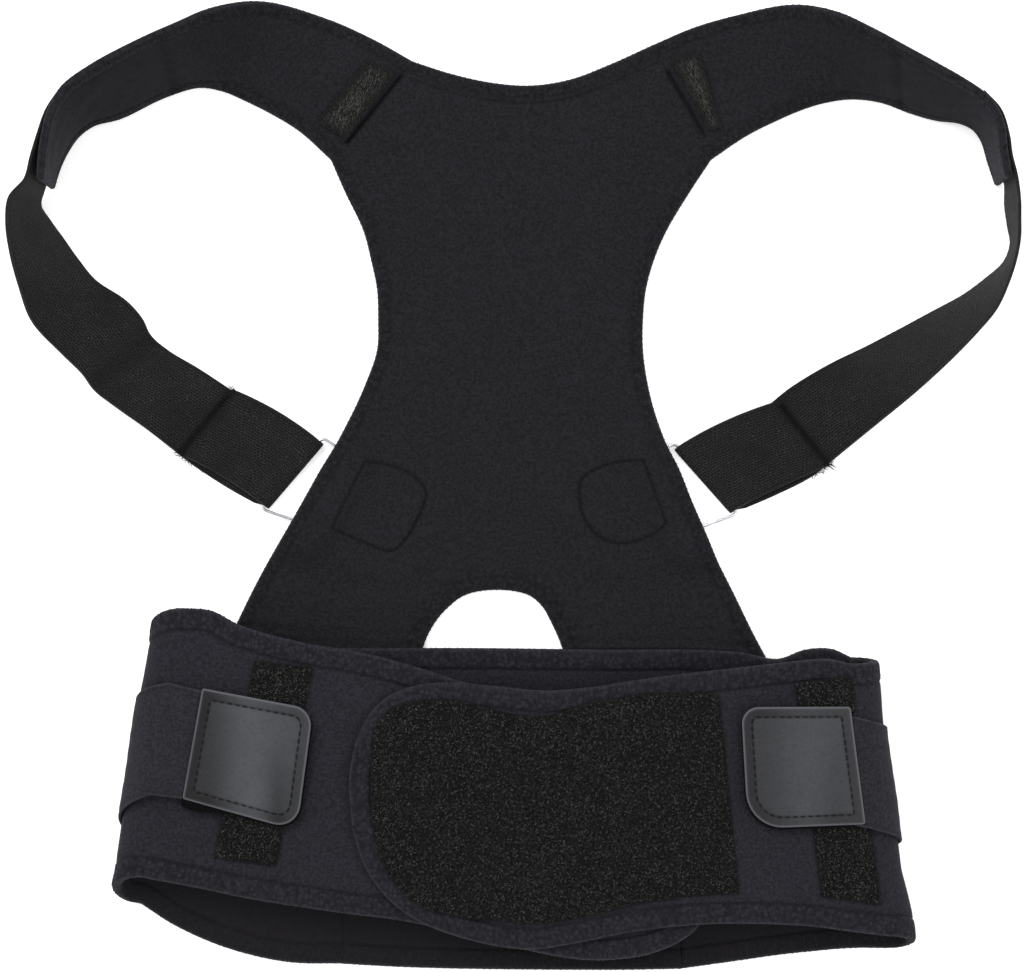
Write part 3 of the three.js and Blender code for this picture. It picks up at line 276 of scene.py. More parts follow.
BAND_TAB = dict(
  left= [
    dict(topX= -145.0, topY= -94.6, lowX= -155.8, lowY= -147.3),
    dict(topX= -130.4, topY= -97.4, lowX= -139.8, lowY= -152.4),
    dict(topX= -116.3, topY= -100.3, lowX= -125.7, lowY= -157.0),
    dict(topX= -105.0, topY= -102.6, lowX= -113.6, lowY= -160.2),
    dict(topX= -98.9, topY= -105.2, lowX= -105.9, lowY= -159.4),
    dict(topX= -95.4, topY= -109.8, lowX= -101.3, lowY= -155.2),
  ],
  right= [
    dict(topX= 108.3, topY= -112.4, lowX= 110.0, lowY= -142.7),
    dict(topX= 110.4, topY= -107.3, lowX= 112.6, lowY= -151.9),
    dict(topX= 115.2, topY= -104.1, lowX= 119.3, lowY= -158.6),
    dict(topX= 126.0, topY= -103.6, lowX= 130.7, lowY= -160.5),
    dict(topX= 142.4, topY= -103.8, lowX= 148.5, lowY= -159.8),
    dict(topX= 159.4, topY= -103.9, lowX= 166.4, lowY= -159.0),
  ],
)
# ---------------------------------------------------------------- small maths
def mix(a, b, t):
    return a + (b - a) * t


def smooth(a, b, x):
    t = np.clip((np.asarray(x, float) - a) / (b - a), 0, 1)
    return t * t * (3 - 2 * t)


def bell(x, width):
    return np.exp(-(np.asarray(x, float) / width) ** 2)


def look_up(rows, by, key, at):
    order = sorted(rows, key=lambda r: r[by])
    return np.interp(at, [r[by] for r in order], [r[key] for r in order])


def unit(v):
    return v / np.maximum(1e-12, np.linalg.norm(v, axis=-1, keepdims=True))


def catmull(points, per=16):
    """Dense samples of a centripetal curve through the points."""
    P = np.asarray(points, float)
    out, n, t = [], len(P), (np.arange(per) / per)[:, None]
    for i in range(n - 1):
        p1, p2 = P[i], P[i + 1]
        p0 = P[i - 1] if i else 2 * P[0] - P[1]
        p3 = P[i + 2] if i + 2 < n else 2 * P[-1] - P[-2]
        d0, d1, d2 = (math.sqrt(np.linalg.norm(b - a)) for a, b in ((p0, p1), (p1, p2), (p2, p3)))
        d1 = d1 if d1 > 1e-4 else 1.0
        d0, d2 = (d if d > 1e-4 else d1 for d in (d0, d2))
        t1 = ((p1 - p0) / d0 - (p2 - p0) / (d0 + d1) + (p2 - p1) / d1) * d1
        t2 = ((p2 - p1) / d1 - (p3 - p1) / (d1 + d2) + (p3 - p2) / d2) * d1
        out.append(p1 + t1 * t + (-3 * p1 + 3 * p2 - 2 * t1 - t2) * t**2 + (2 * p1 - 2 * p2 + t1 + t2) * t**3)
    out.append(P[-1:])
    return np.concatenate(out)


def length_along(poly):
    return np.concatenate([[0], np.cumsum(np.linalg.norm(np.diff(poly, axis=0), axis=1))])


def respace(poly, step):
    s = length_along(poly)
    n = max(1, int(round(s[-1] / step)))
    at = np.linspace(0, s[-1], n + 1)
    return np.stack([np.interp(at, s, poly[:, k]) for k in range(poly.shape[1])], 1)


def distance_to(points, poly):
    """Distance of each point to a polyline, and how far along the polyline it is nearest."""
    P = points.reshape(-1, poly.shape[1])
    a, d = poly[:-1], np.diff(poly, axis=0)
    dd = np.maximum(1e-12, (d * d).sum(1))
    s, seg = length_along(poly)[:-1], np.sqrt(dd)
    best, where = np.empty(len(P)), np.empty(len(P))
    for k in range(0, len(P), 1500):
        q = P[k:k + 1500, None, :] - a[None]
        t = np.clip((q * d).sum(2) / dd, 0, 1)
        far = ((q - t[..., None] * d) ** 2).sum(2)
        j = far.argmin(1)
        i = np.arange(len(j))
        best[k:k + 1500] = np.sqrt(far[i, j])
        where[k:k + 1500] = s[j] + t[i, j] * seg[j]
    return best.reshape(points.shape[:-1]), where.reshape(points.shape[:-1])


def inside(points, loop):
    x, y = points[:, 0], points[:, 1]
    odd = np.zeros(len(points), bool)
    for (x1, y1), (x2, y2) in zip(loop, np.roll(loop, -1, axis=0)):
        if y1 != y2:
            odd ^= ((y1 > y) != (y2 > y)) & (x < (x2 - x1) * (y - y1) / (y2 - y1) + x1)
    return odd


def waves(P, size, seed, count=9):
    """A soft undulation between about -1 and 1 with bumps of the given size."""
    r = np.random.default_rng(seed)
    total = np.zeros(P.shape[:-1])
    for _ in range(count):
        direction = unit(r.normal(size=P.shape[-1]))
        total += np.sin((P @ direction) * (2 * math.pi / (size * r.uniform(0.7, 1.6))) + r.uniform(0, 6.28))
    return total / math.sqrt(count) * 0.8


# ---------------------------------------------------------------- meshes
def volume_of(V, polys):
    total = 0.0
    for p in polys:
        for k in range(1, p.shape[1] - 1):
            total += np.einsum("ij,ij->", V[p[:, 0]], np.cross(V[p[:, k]], V[p[:, k + 1]]))
    return total


def build(name, V, polys, look, uv=None, attrs=None):
    """A Blender object from points in the drafting frame, riding on the root body."""
    V = np.asarray(V, float)
    if volume_of(V - V.mean(0), polys) < 0:
        polys = [p[:, ::-1] for p in polys]
    used = np.unique(np.concatenate([p.ravel() for p in polys]))
    back = np.full(len(V), -1)
    back[used] = np.arange(len(used))
    polys = [back[p] for p in polys]
    me = bpy.data.meshes.new(name)
    me.from_pydata(((V[used] - ORIGIN) * 0.001).tolist(), [], [f for p in polys for f in p.tolist()])
    me.polygons.foreach_set("use_smooth", np.ones(len(me.polygons), bool))
    if uv is not None:
        corner = np.empty(len(me.loops), np.int32)
        me.loops.foreach_get("vertex_index", corner)
        layer = me.uv_layers.new(name="weave")
        layer.data.foreach_set("uv", (np.asarray(uv)[used] * 0.001)[corner].astype(np.float32).ravel())
    for key, values in (attrs or {}).items():
        a = me.attributes.new(key, "FLOAT", "POINT")
        a.data.foreach_set("value", np.asarray(values)[used].astype(np.float32))
    me.materials.append(look)
    me.update()
    obj = bpy.data.objects.new(name, me)
    bpy.context.scene.collection.objects.link(obj)
    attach(obj, "root")
    return obj


class Strip:
    """A strip of cloth between two edge curves, with its outer side up or out."""

    def __init__(self, A, B, thickness, outer=None, rise=None, sway=None):
        mid = (A + B) / 2
        keep = np.concatenate([[True], np.linalg.norm(np.diff(mid, axis=0), axis=1) > 1e-3])
        self.A, self.B, self.T, self.flip = A[keep], B[keep], thickness, 1.0
        self.rise = rise or (lambda p: 0 * p[..., 0])
        self.sway = sway or (lambda p: 0 * p[..., 0])
        self.s = length_along((self.A + self.B) / 2)
        self.length = self.s[-1]
        if outer is not None:
            s = np.linspace(0, self.length, 41)
            n = self.normal(s, 0.5 + 0 * s)
            self.flip = 1.0 if (n * np.asarray(outer(self.mid(s, 0.5 + 0 * s)))).sum() > 0 else -1.0

    def edge(self, E, s):
        return np.stack([np.interp(s, self.s, E[:, k]) for k in range(3)], -1)

    def width(self, s):
        return np.linalg.norm(self.edge(self.A, s) - self.edge(self.B, s), axis=-1)

    def mid(self, s, v):
        s, v = np.broadcast_arrays(np.asarray(s, float), np.asarray(v, float))
        p = mix(self.edge(self.A, s), self.edge(self.B, s), v[..., None])
        p[..., 0] += self.sway(p)
        p[..., 2] += self.rise(p)
        return p

    def normal(self, s, v):
        s, v = np.broadcast_arrays(np.asarray(s, float), np.asarray(v, float))
        e = 0.5
        run = self.mid(np.minimum(s + e, self.length), v) - self.mid(np.maximum(s - e, 0), v)
        over = self.mid(s, v + 0.02) - self.mid(s, v - 0.02)
        return unit(np.cross(run, over)) * self.flip

    def on(self, s, v, lift=0.0, side=1):
        """Points on the outer face (side 1) or the inner face (side -1), with their normals."""
        n = self.normal(s, v) * side
        return self.mid(s, v) + n * (self.T / 2 + np.asarray(lift))[..., None], n

    def outline(self, edges="abse"):
        """The chosen free edges, each as its own polyline: a, b, start, end."""
        parts = dict(a=self.A, b=self.B, s=np.array([self.A[0], self.B[0]]), e=np.array([self.A[-1], self.B[-1]]))
        lifted = []
        for key in edges:
            p = respace(parts[key], 1.5) if key in "se" else parts[key].copy()
            p[:, 0] += self.sway(p)
            p[:, 2] += self.rise(p)
            lifted.append(p)
        return lifted


def rim(r):
    return [0, 0.05 * r, 0.2 * r, 0.5 * r, r]


def strip_piece(name, strip, look, step, cols, near_a, near_b, near_s, near_e, free="abse", relief=None):
    """A closed thick sheet. near_*: distances from each edge at which rows of points run."""
    L, T = strip.length, strip.T
    na, nb, ns, ne = (np.asarray(n, float) for n in (near_a, near_b, near_s, near_e))
    n = max(2, int(math.ceil((L - ns[-1] - ne[-1]) / step)))
    s = np.concatenate([ns, np.linspace(ns[-1], L - ne[-1], n + 1)[1:-1], L - ne[::-1]])
    w = strip.width(s)[:, None]
    f = np.minimum(1, 0.45 * w / max(na[-1], nb[-1], 1e-6))
    va, vb = na[None] * f / w, 1 - nb[None, ::-1] * f / w
    t = np.linspace(0, 1, cols + 1)[None, 1:-1]
    v = np.concatenate([va, va[:, -1:] + (vb[:, :1] - va[:, -1:]) * t, vb], 1)
    S = np.broadcast_to(s[:, None], v.shape)
    P, N = strip.mid(S, v), strip.normal(S, v)
    edge = np.full(P.shape[:2], 1e3)
    for key, poly in zip(free, strip.outline(free)):
        edge = np.minimum(edge, distance_to(P, poly)[0])
    r = min(T / 2, 1.4)
    q = np.clip(edge / r, 0, 1)
    half = T / 2 * np.sqrt(np.maximum(0, 1 - (1 - q) ** 2))
    for key, where in (("a", np.s_[:, 0]), ("b", np.s_[:, -1]), ("s", np.s_[0, :]), ("e", np.s_[-1, :])):
        if key in free:
            half[where] = 0
    facts = dict(s=S, v=v, w=np.broadcast_to(w, v.shape), edge=edge, P=P, N=N)
    top, bottom, attrs = relief(facts) if relief else (0, 0, {})
    # painted shade: the parts of a strip that stand on edge are marked here, and the looks darken them as if shaded
    attrs = dict(attrs, steep=smooth(0.15, 1.0, 1 - np.abs(N[..., 2])))
    thin = half / (T / 2)
    up = P + N * (half + top * thin)[..., None]
    low = P - N * (half + bottom * thin)[..., None]
    for q in (up, low):
        q[..., 2] = np.maximum(q[..., 2], 0.02)
    nu, nv = v.shape
    idT = np.arange(nu * nv).reshape(nu, nv)
    idB = np.where(half < 1e-6, idT, idT + nu * nv)
    cell = lambda g: np.stack([g[:-1, :-1], g[1:, :-1], g[1:, 1:], g[:-1, 1:]], -1).reshape(-1, 4)
    quads, tris = [cell(idT), cell(idB)[:, ::-1]], []
    walls = []
    ring = np.concatenate([idT[0, :], idT[1:, -1], idT[-1, -2::-1], idT[-2::-1, 0]])
    ringB = np.concatenate([idB[0, :], idB[1:, -1], idB[-1, -2::-1], idB[-2::-1, 0]])
    for k in range(len(ring) - 1):
        face = list(dict.fromkeys([ring[k], ring[k + 1], ringB[k + 1], ringB[k]]))
        if len(face) == 4:
            walls.append(face)
        elif len(face) == 3:
            tris.append(face)
    # the wall has to turn the same way as the faces beside it
    if walls:
        quads.append(np.array(walls)[:, ::-1][:, [3, 2, 1, 0]])
    if tris:
        quads.append(np.array(tris))
    V = np.concatenate([up.reshape(-1, 3), low.reshape(-1, 3)])
    uv = np.stack([S, v * w], -1).reshape(-1, 2)
    inner = np.concatenate([np.zeros(nu * nv), np.ones(nu * nv)])
    full = {key: np.concatenate([np.broadcast_to(x, v.shape).ravel()] * 2) for key, x in attrs.items()}
    full["inner"] = inner
    obj = build(name, V, quads, look, np.concatenate([uv, uv]), full)
    obj["flat_area"] = float(cell_area(P))
    return obj


def cell_area(P):
    d1, d2 = P[1:, 1:] - P[:-1, :-1], P[1:, :-1] - P[:-1, 1:]
    return 0.5e-6 * np.linalg.norm(np.cross(d1, d2), axis=-1).sum()


def tubes(name, curves, normals, radii, look, sides=5, fade=1.0):
    """Many short closed threads at once: curves (M, K, 3), radii (K,) or (M, K)."""
    C, U = np.asarray(curves, float), np.asarray(normals, float)
    M, K = C.shape[:2]
    R = np.broadcast_to(np.asarray(radii, float), (M, K))
    run = unit(np.concatenate([C[:, 1:2] - C[:, :1], C[:, 2:] - C[:, :-2], C[:, -1:] - C[:, -2:-1]], 1))
    side = unit(np.cross(run, U))
    up = np.cross(side, run)
    a = 2 * math.pi * (np.arange(sides) + 0.5) / sides
    V = C[:, :, None] + R[..., None, None] * (side[:, :, None] * np.cos(a)[:, None] + up[:, :, None] * np.sin(a)[:, None])
    V = V.reshape(-1, 3)
    V[:, 2] = np.maximum(V[:, 2], 0.02)
    base = (np.arange(M)[:, None, None] * K + np.arange(K - 1)[None, :, None]) * sides
    j = np.arange(sides)[None, None]
    k = (j + 1) % sides
    quads = np.stack([base + j, base + k, base + sides + k, base + sides + j], -1).reshape(-1, 4)
    first = (np.arange(M)[:, None] * K) * sides + np.arange(sides)[None, ::-1]
    last = (np.arange(M)[:, None] * K + K - 1) * sides + np.arange(sides)[None]
    tone = np.repeat(np.random.default_rng(len(C)).uniform(0, 1, M) * fade, K * sides)
    return build(name, V, [quads, first, last], look, np.zeros((len(V), 2)), {"tone": tone})


def stitches(path, long=2.4, gap=0.7, dip=0.25, lift=0.12, points=5):
    """Centre lines of the stitches of a seam. path(t) gives points and normals at lengths t."""
    total, at = path
    n = max(1, int(total / (long + gap)))
    starts = (np.arange(n) + 0.1) * total / n
    share = np.linspace(0, 1, points)
    t = starts[:, None] + share[None] * long
    P, N = at(np.minimum(t, total))
    h = -dip + (lift + dip) * np.sin(math.pi * share) ** 0.5
    return P + N * h[None, :, None], N

# ---------------------------------------------------------------- looks
def srgb(*c):
    lin = [(x / 255 / 12.92 if x <= 10.3 else ((x / 255 + 0.055) / 1.055) ** 2.4) for x in c]
    return (*lin, 1.0)


class Nodes:
    """A short way to write a material's node tree."""

    def __init__(self, name):
        self.look = bpy.data.materials.new(name)
        self.look.use_nodes = True
        self.tree = self.look.node_tree
        self.tree.nodes.clear()
        self.out = self.new("ShaderNodeOutputMaterial")
        self.shader = self.new("ShaderNodeBsdfPrincipled")
        self.tree.links.new(self.shader.outputs[0], self.out.inputs["Surface"])

    def new(self, kind, **props):
        node = self.tree.nodes.new(kind)
        for key, value in props.items():
            setattr(node, key, value)
        return node

    def put(self, node, key, value):
        if isinstance(value, bpy.types.NodeSocket):
            self.tree.links.new(value, node.inputs[key])
        else:
            node.inputs[key].default_value = value

    def math(self, op, a, b=0.0, c=0.0, clamp=False):
        node = self.new("ShaderNodeMath", operation=op, use_clamp=clamp)
        for k, value in enumerate((a, b, c)):
            self.put(node, k, value)
        return node.outputs[0]

    def span(self, value, lo, hi, to_lo=0.0, to_hi=1.0, kind="SMOOTHSTEP"):
        node = self.new("ShaderNodeMapRange", interpolation_type=kind)
        for k, x in enumerate((value, lo, hi, to_lo, to_hi)):
            self.put(node, k, x)
        return node.outputs[0]

    def blend(self, fac, a, b, how="MIX"):
        node = self.new("ShaderNodeMix", data_type="RGBA", blend_type=how)
        self.put(node, 0, fac)
        self.put(node, 6, a)
        self.put(node, 7, b)
        return node.outputs[2]

    def noise(self, where, scale, detail=2.0, rough=0.5):
        node = self.new("ShaderNodeTexNoise")
        self.put(node, "Vector", where)
        self.put(node, "Scale", scale)
        self.put(node, "Detail", detail)
        self.put(node, "Roughness", rough)
        return node.outputs["Fac"]

    def cells(self, where, scale, feature="F1"):
        node = self.new("ShaderNodeTexVoronoi", feature=feature)
        self.put(node, "Vector", where)
        self.put(node, "Scale", scale)
        return node.outputs["Distance"]

    def attribute(self, name):
        return self.new("ShaderNodeAttribute", attribute_name=name).outputs["Fac"]

    def place(self):
        return self.new("ShaderNodeTexCoord").outputs["Object"]

    def weave(self):
        """Along and across the cloth, in millimetres."""
        uv = self.new("ShaderNodeUVMap", uv_map="weave").outputs[0]
        part = self.new("ShaderNodeSeparateXYZ")
        self.put(part, 0, uv)
        return self.math("MULTIPLY", part.outputs[0], 1000.0), self.math("MULTIPLY", part.outputs[1], 1000.0)

    def sine(self, value, period, phase=0.0):
        turn = self.math("MULTIPLY_ADD", value, 2 * math.pi / period, phase)
        return self.math("SINE", turn)

    def height(self, mm, strength=1.0, before=None):
        node = self.new("ShaderNodeBump")
        self.put(node, "Strength", strength)
        self.put(node, "Distance", 0.001)
        self.put(node, "Height", mm)
        if before is not None:
            self.put(node, "Normal", before)
        return node.outputs[0]

    def finish(self, colour, rough, normal=None, **sockets):
        self.put(self.shader, "Base Color", colour)
        self.put(self.shader, "Roughness", rough)
        if normal is not None:
            self.put(self.shader, "Normal", normal)
        for key, value in sockets.items():
            self.shader.inputs[key.replace("_", " ")].default_value = value
        return self.look


def knit_look(name, colour, light, dark, lining=None, band=True, pitch=0.62, sheen=0.04):
    """Fine jersey over neoprene, with mottled overlocked bands along the edges."""
    n = Nodes(name)
    p = n.place()
    u, v = n.weave()
    cloud = n.span(n.noise(p, 22.0, 3.0, 0.5), 0.3, 0.7)
    blotch = n.noise(p, 240.0, 3.0, 0.6)
    fleck = n.noise(p, 760.0, 4.0, 0.75)
    col = n.blend(n.math("MULTIPLY", cloud, 0.25), colour, dark)
    col = n.blend(n.math("MULTIPLY", n.span(blotch, 0.4, 0.7), 0.12), col, light)
    col = n.blend(0.5, col, n.blend(n.span(fleck, 0.34, 0.66), dark, light))
    # painted shade: the steep parts of the cloth are darkened
    col = n.blend(n.math("MULTIPLY", n.attribute("steep"), 0.55), col, dark)
    # loops of the knit: columns along the cloth, with small V-shaped wales
    wale = n.math("ABSOLUTE", n.sine(v, 2 * pitch))
    course = n.math("MULTIPLY_ADD", n.sine(u, 2 * pitch * 1.25), 0.5, 0.5)
    knit = n.math("MULTIPLY", wale, n.math("MULTIPLY_ADD", course, 0.6, 0.4))
    height = n.math("MULTIPLY", knit, 0.05)
    height = n.math("MULTIPLY_ADD", fleck, 0.05, height)
    height = n.math("MULTIPLY_ADD", blotch, 0.10, height)
    if band:
        inside = n.attribute("band")
        stitch = n.cells(p, 470.0)
        knot = n.span(stitch, 0.2, 0.7)
        mottled = n.blend(knot, n.blend(0.65, colour, light), dark)
        mottled = n.blend(n.math("MULTIPLY", n.span(n.noise(p, 420.0, 2.0), 0.42, 0.68), 0.8), mottled, colour)
        col = n.blend(n.math("MULTIPLY", inside, 0.68), col, mottled)
        height = n.math("MULTIPLY_ADD", n.math("MULTIPLY", inside, n.math("SUBTRACT", 1.0, knot)), 0.12, height)
    # painted shade: the grooves, seams, slits, creases and kinks marked in the pieces are darkened almost to black
    col = n.blend(n.math("MULTIPLY", n.attribute("groove"), 0.75), col, srgb(7, 7, 9))
    # painted shade with a brownish tint: the inner face of the belt's rear, low in the hollow under the front wings, is
    # darkened
    if lining is not None:
        col = n.blend(n.attribute("lining"), col, lining)
    # painted highlight: a light line along the rounded rims, broken up by noise
    rim_highlight = n.math("MULTIPLY", n.attribute("rim"), n.span(n.noise(p, 330.0, 2.0), 0.28, 0.6))
    col = n.blend(n.math("MULTIPLY", rim_highlight, 0.75), col, light)
    rough = n.span(blotch, 0.2, 0.8, 0.78, 0.95)
    return n.finish(col, rough, n.height(height), Specular_IOR_Level=0.07, Sheen_Weight=sheen, Sheen_Roughness=0.5, Sheen_Tint=(0.8, 0.82, 1.0, 1.0))


def webbing_look(name, colour, light, dark, rib=1.6, warp=1.3):
    """Elastic webbing: pebbly weft ribs crossed by warp cords."""
    n = Nodes(name)
    p = n.place()
    u, v = n.weave()
    wobble = n.noise(p, 620.0, 3.0, 0.6)
    drawn = n.math("MULTIPLY", n.noise(p, 130.0, 2.0, 0.6), 5.0)
    u, v = n.math("ADD", u, drawn), n.math("MULTIPLY_ADD", drawn, 0.5, v)
    row = n.math("FLOOR", n.math("DIVIDE", v, warp))
    shift = n.math("MULTIPLY", n.math("PINGPONG", row, 3.0), rib * 0.5)
    across = n.math("ABSOLUTE", n.sine(n.math("ADD", n.math("ADD", u, shift), n.math("MULTIPLY", wobble, 1.7)), 2 * rib))
    along = n.math("ABSOLUTE", n.sine(n.math("MULTIPLY_ADD", wobble, 1.1, v), 2 * warp))
    pebble = n.math("MULTIPLY", n.math("POWER", across, 0.85), n.math("POWER", along, 0.7))
    shade = n.noise(p, 45.0, 3.0, 0.6)
    fleck = n.noise(p, 1700.0, 2.0, 0.6)
    col = n.blend(n.span(pebble, 0.2, 0.8), dark, colour)
    patchy = n.math("MULTIPLY", n.span(n.noise(p, 420.0, 3.0, 0.7), 0.38, 0.66), n.span(n.noise(p, 70.0, 2.0, 0.5), 0.3, 0.7, 0.45, 1.15))
    # painted highlight: the tops of the pebbles are lightened, less so where the webbing stands on edge
    flat = n.math("SUBTRACT", 1.0, n.math("MULTIPLY", n.attribute("steep"), 0.9))
    col = n.blend(n.math("MULTIPLY", flat, n.math("MULTIPLY", n.span(pebble, 0.6, 1.0), n.math("MULTIPLY_ADD", patchy, 0.42, 0.06))), col, light)
    col = n.blend(n.math("MULTIPLY", n.math("MULTIPLY", n.span(fleck, 0.55, 0.75), pebble), 0.35), col, light)
    col = n.blend(n.math("MULTIPLY", n.span(shade, 0.35, 0.7), 0.40), col, dark)
    # painted shade on the steep parts, a painted highlight along the rims, and painted shade close to black along the
    # marked grooves, sewn lines, dip and end step
    col = n.blend(n.math("MULTIPLY", n.attribute("steep"), 0.5), col, dark)
    col = n.blend(n.math("MULTIPLY", n.attribute("rim"), 0.18), col, light)
    col = n.blend(n.math("MULTIPLY", n.attribute("groove"), 0.95), col, srgb(2, 2, 2))
    height = n.math("MULTIPLY_ADD", fleck, 0.05, n.math("MULTIPLY", pebble, 0.30))
    rough = n.span(fleck, 0.3, 0.7, 0.72, 0.92)
    return n.finish(col, rough, n.height(height), Specular_IOR_Level=0.12, Sheen_Weight=0.05, Sheen_Roughness=0.45, Sheen_Tint=(1.0, 1.0, 1.0, 1.0))


def pile_look(name, dark, light):
    """The felt that carries the loops: dark, tangled and uneven."""
    n = Nodes(name)
    p = n.place()
    tangle = n.noise(p, 900.0, 4.0, 0.8)
    clump = n.cells(p, 640.0)
    soft = n.noise(p, 60.0, 2.0)
    col = n.blend(n.span(tangle, 0.42, 0.66), dark, light)
    col = n.blend(n.math("MULTIPLY", n.span(clump, 0.25, 0.6), 0.6), col, dark)
    col = n.blend(n.math("MULTIPLY", n.span(soft, 0.4, 0.7), 0.3), col, dark)
    height = n.math("MULTIPLY_ADD", tangle, 0.7, n.math("MULTIPLY", clump, -0.5))
    return n.finish(col, n.span(tangle, 0.3, 0.7, 0.85, 1.0), n.height(height), Specular_IOR_Level=0.03, Sheen_Weight=0.02, Sheen_Roughness=0.6)


def thread_look(name, dark, light, rough=0.6, specular=0.15, skew=1.0):
    """Spun thread: each stitch has its own tone, with the twist of the yarn."""
    n = Nodes(name)
    p = n.place()
    fuzz = n.noise(p, 2600.0, 2.0)
    col = n.blend(n.math("POWER", n.attribute("tone"), skew), dark, light)
    col = n.blend(n.math("MULTIPLY", n.span(fuzz, 0.45, 0.75), 0.25), col, light)
    return n.finish(col, n.span(fuzz, 0.3, 0.7, rough - 0.1, rough + 0.15), n.height(n.math("MULTIPLY", fuzz, 0.08)), Specular_IOR_Level=specular, Sheen_Weight=0.03)


def leather_look(name, colour, light, dark, deep):
    """Soft leatherette: a pebbled grain, creases, painted light and shade from a shade mask, a painted highlight along
    the edge and painted shade in the grooves.
    """
    n = Nodes(name)
    p = n.place()
    grain = n.cells(p, 900.0, "SMOOTH_F1")
    fine = n.cells(p, 2100.0)
    crease = n.noise(p, 95.0, 4.0, 0.6)
    cloud = n.noise(p, 38.0, 3.0, 0.55)
    col = n.blend(n.math("MULTIPLY", n.span(cloud, 0.35, 0.68, 0.3, 0.0), 0.8), colour, dark)
    col = n.blend(n.math("MULTIPLY", n.span(grain, 0.35, 0.8), 0.4), col, dark)
    col = n.blend(n.math("MULTIPLY", n.span(crease, 0.55, 0.75), 0.18), col, light)
    # painted light and shade: the shade mask darkens the tab away from its lit ridge, the rim gets a painted highlight
    # and the grooves painted shade
    col = n.blend(n.attribute("shade"), col, deep)
    col = n.blend(n.math("MULTIPLY", n.attribute("rim"), 0.7), col, light)
    col = n.blend(n.math("MULTIPLY", n.attribute("groove"), 0.7), col, deep)
    height = n.math("MULTIPLY_ADD", grain, -0.10, n.math("MULTIPLY", fine, -0.04))
    height = n.math("MULTIPLY_ADD", crease, 0.25, height)
    rough = n.math("ADD", n.span(grain, 0.1, 0.7, 0.48, 0.62), n.math("MULTIPLY", crease, 0.1))
    return n.finish(col, rough, n.height(height), Specular_IOR_Level=0.2)


def wire_look(name):
    """Nickel-plated wire, drawn and a little scratched."""
    n = Nodes(name)
    p = n.place()
    scratch = n.noise(p, 1400.0, 3.0, 0.7)
    dull = n.noise(p, 160.0, 3.0)
    col = n.blend(n.span(dull, 0.4, 0.7), srgb(196, 198, 203), srgb(168, 169, 172))
    rough = n.math("ADD", n.span(scratch, 0.4, 0.7, 0.14, 0.26), n.math("MULTIPLY", dull, 0.08))
    return n.finish(col, rough, n.height(n.math("MULTIPLY", scratch, 0.012)), Metallic=1.0)


NEOPRENE = knit_look("neoprene", srgb(23, 23, 26), srgb(38, 38, 42), srgb(13, 13, 15))
BELT_CLOTH = knit_look("belt_neoprene", srgb(29, 28, 33), srgb(46, 45, 51), srgb(17, 16, 20), lining=srgb(21, 19, 20))
TAB_CLOTH = knit_look("ring_tab_cloth", srgb(24, 24, 27), srgb(38, 38, 42), srgb(14, 14, 16), band=False)
WEBBING = webbing_look("elastic_webbing", srgb(31, 30, 30), srgb(74, 72, 72), srgb(9, 9, 9))
BAND_CLOTH = knit_look("side_band_elastic", srgb(31, 31, 35), srgb(48, 48, 53), srgb(20, 20, 23), band=False, pitch=0.5)
PILE = pile_look("loop_pile", srgb(11, 11, 11), srgb(48, 48, 47))
# partly painted shadow: this near-black tape also stands in for the shadow under the lower corner of the left
# leatherette tab
HOOK_AND_SHADOW = pile_look("hook_tape", srgb(4, 4, 4), srgb(20, 20, 20))
VELVET = pile_look("velvet_pile", srgb(20, 20, 20), srgb(52, 52, 52))
LOOP = thread_look("pile_loops", srgb(10, 10, 10), srgb(62, 62, 61), 0.75, 0.10, 1.45)
FIBRE = thread_look("velvet_fibres", srgb(18, 18, 18), srgb(84, 84, 82), 0.8, 0.15, 1.6)
THREAD = thread_look("seam_thread", srgb(9, 9, 11), srgb(22, 22, 26))
OVERLOCK = thread_look("overlock_thread", srgb(13, 13, 15), srgb(26, 25, 29))
BLACK_THREAD = thread_look("black_thread", srgb(4, 4, 5), srgb(12, 12, 13))
LEATHER = leather_look("leatherette", srgb(68, 69, 73), srgb(92, 93, 99), srgb(54, 55, 59), srgb(17, 17, 19))
WIRE = wire_look("ring_wire")

# ---------------------------------------------------------------- camera and light
EYE = 1500.0
cam = bpy.data.objects.new("camera", bpy.data.cameras.new("camera"))
cam.data.sensor_width = 36
cam.data.lens = 36 * EYE / (1024 * 0.48)
cam.data.clip_end = 20
cam.location = ((vec(0, 0, EYE) - ORIGIN) * 0.001).tolist()
bpy.context.scene.collection.objects.link(cam)
bpy.context.scene.camera = cam


def soft_light(name, x, y, z, size, power):
    lamp = bpy.data.lights.new(name, "AREA")
    lamp.shape, lamp.size, lamp.energy = "SQUARE", size, power
    obj = bpy.data.objects.new(name, lamp)
    obj.location = (x, y, z)
    obj.rotation_euler = (-Vector((x, y, z))).to_track_quat("-Z", "Y").to_euler()
    bpy.context.scene.collection.objects.link(obj)


soft_light("key", -0.9, 1.1, 1.7, 1.2, 26)
soft_light("fill", 1.2, -0.5, 1.6, 1.4, 10)
world = bpy.data.worlds.new("studio")
world.use_nodes = True
world.node_tree.nodes["Background"].inputs[0].default_value = (1.0, 1.0, 1.0, 1.0)
world.node_tree.nodes["Background"].inputs[1].default_value = 1.0
bpy.context.scene.world = world
bpy.context.scene.view_settings.view_transform = "Standard"

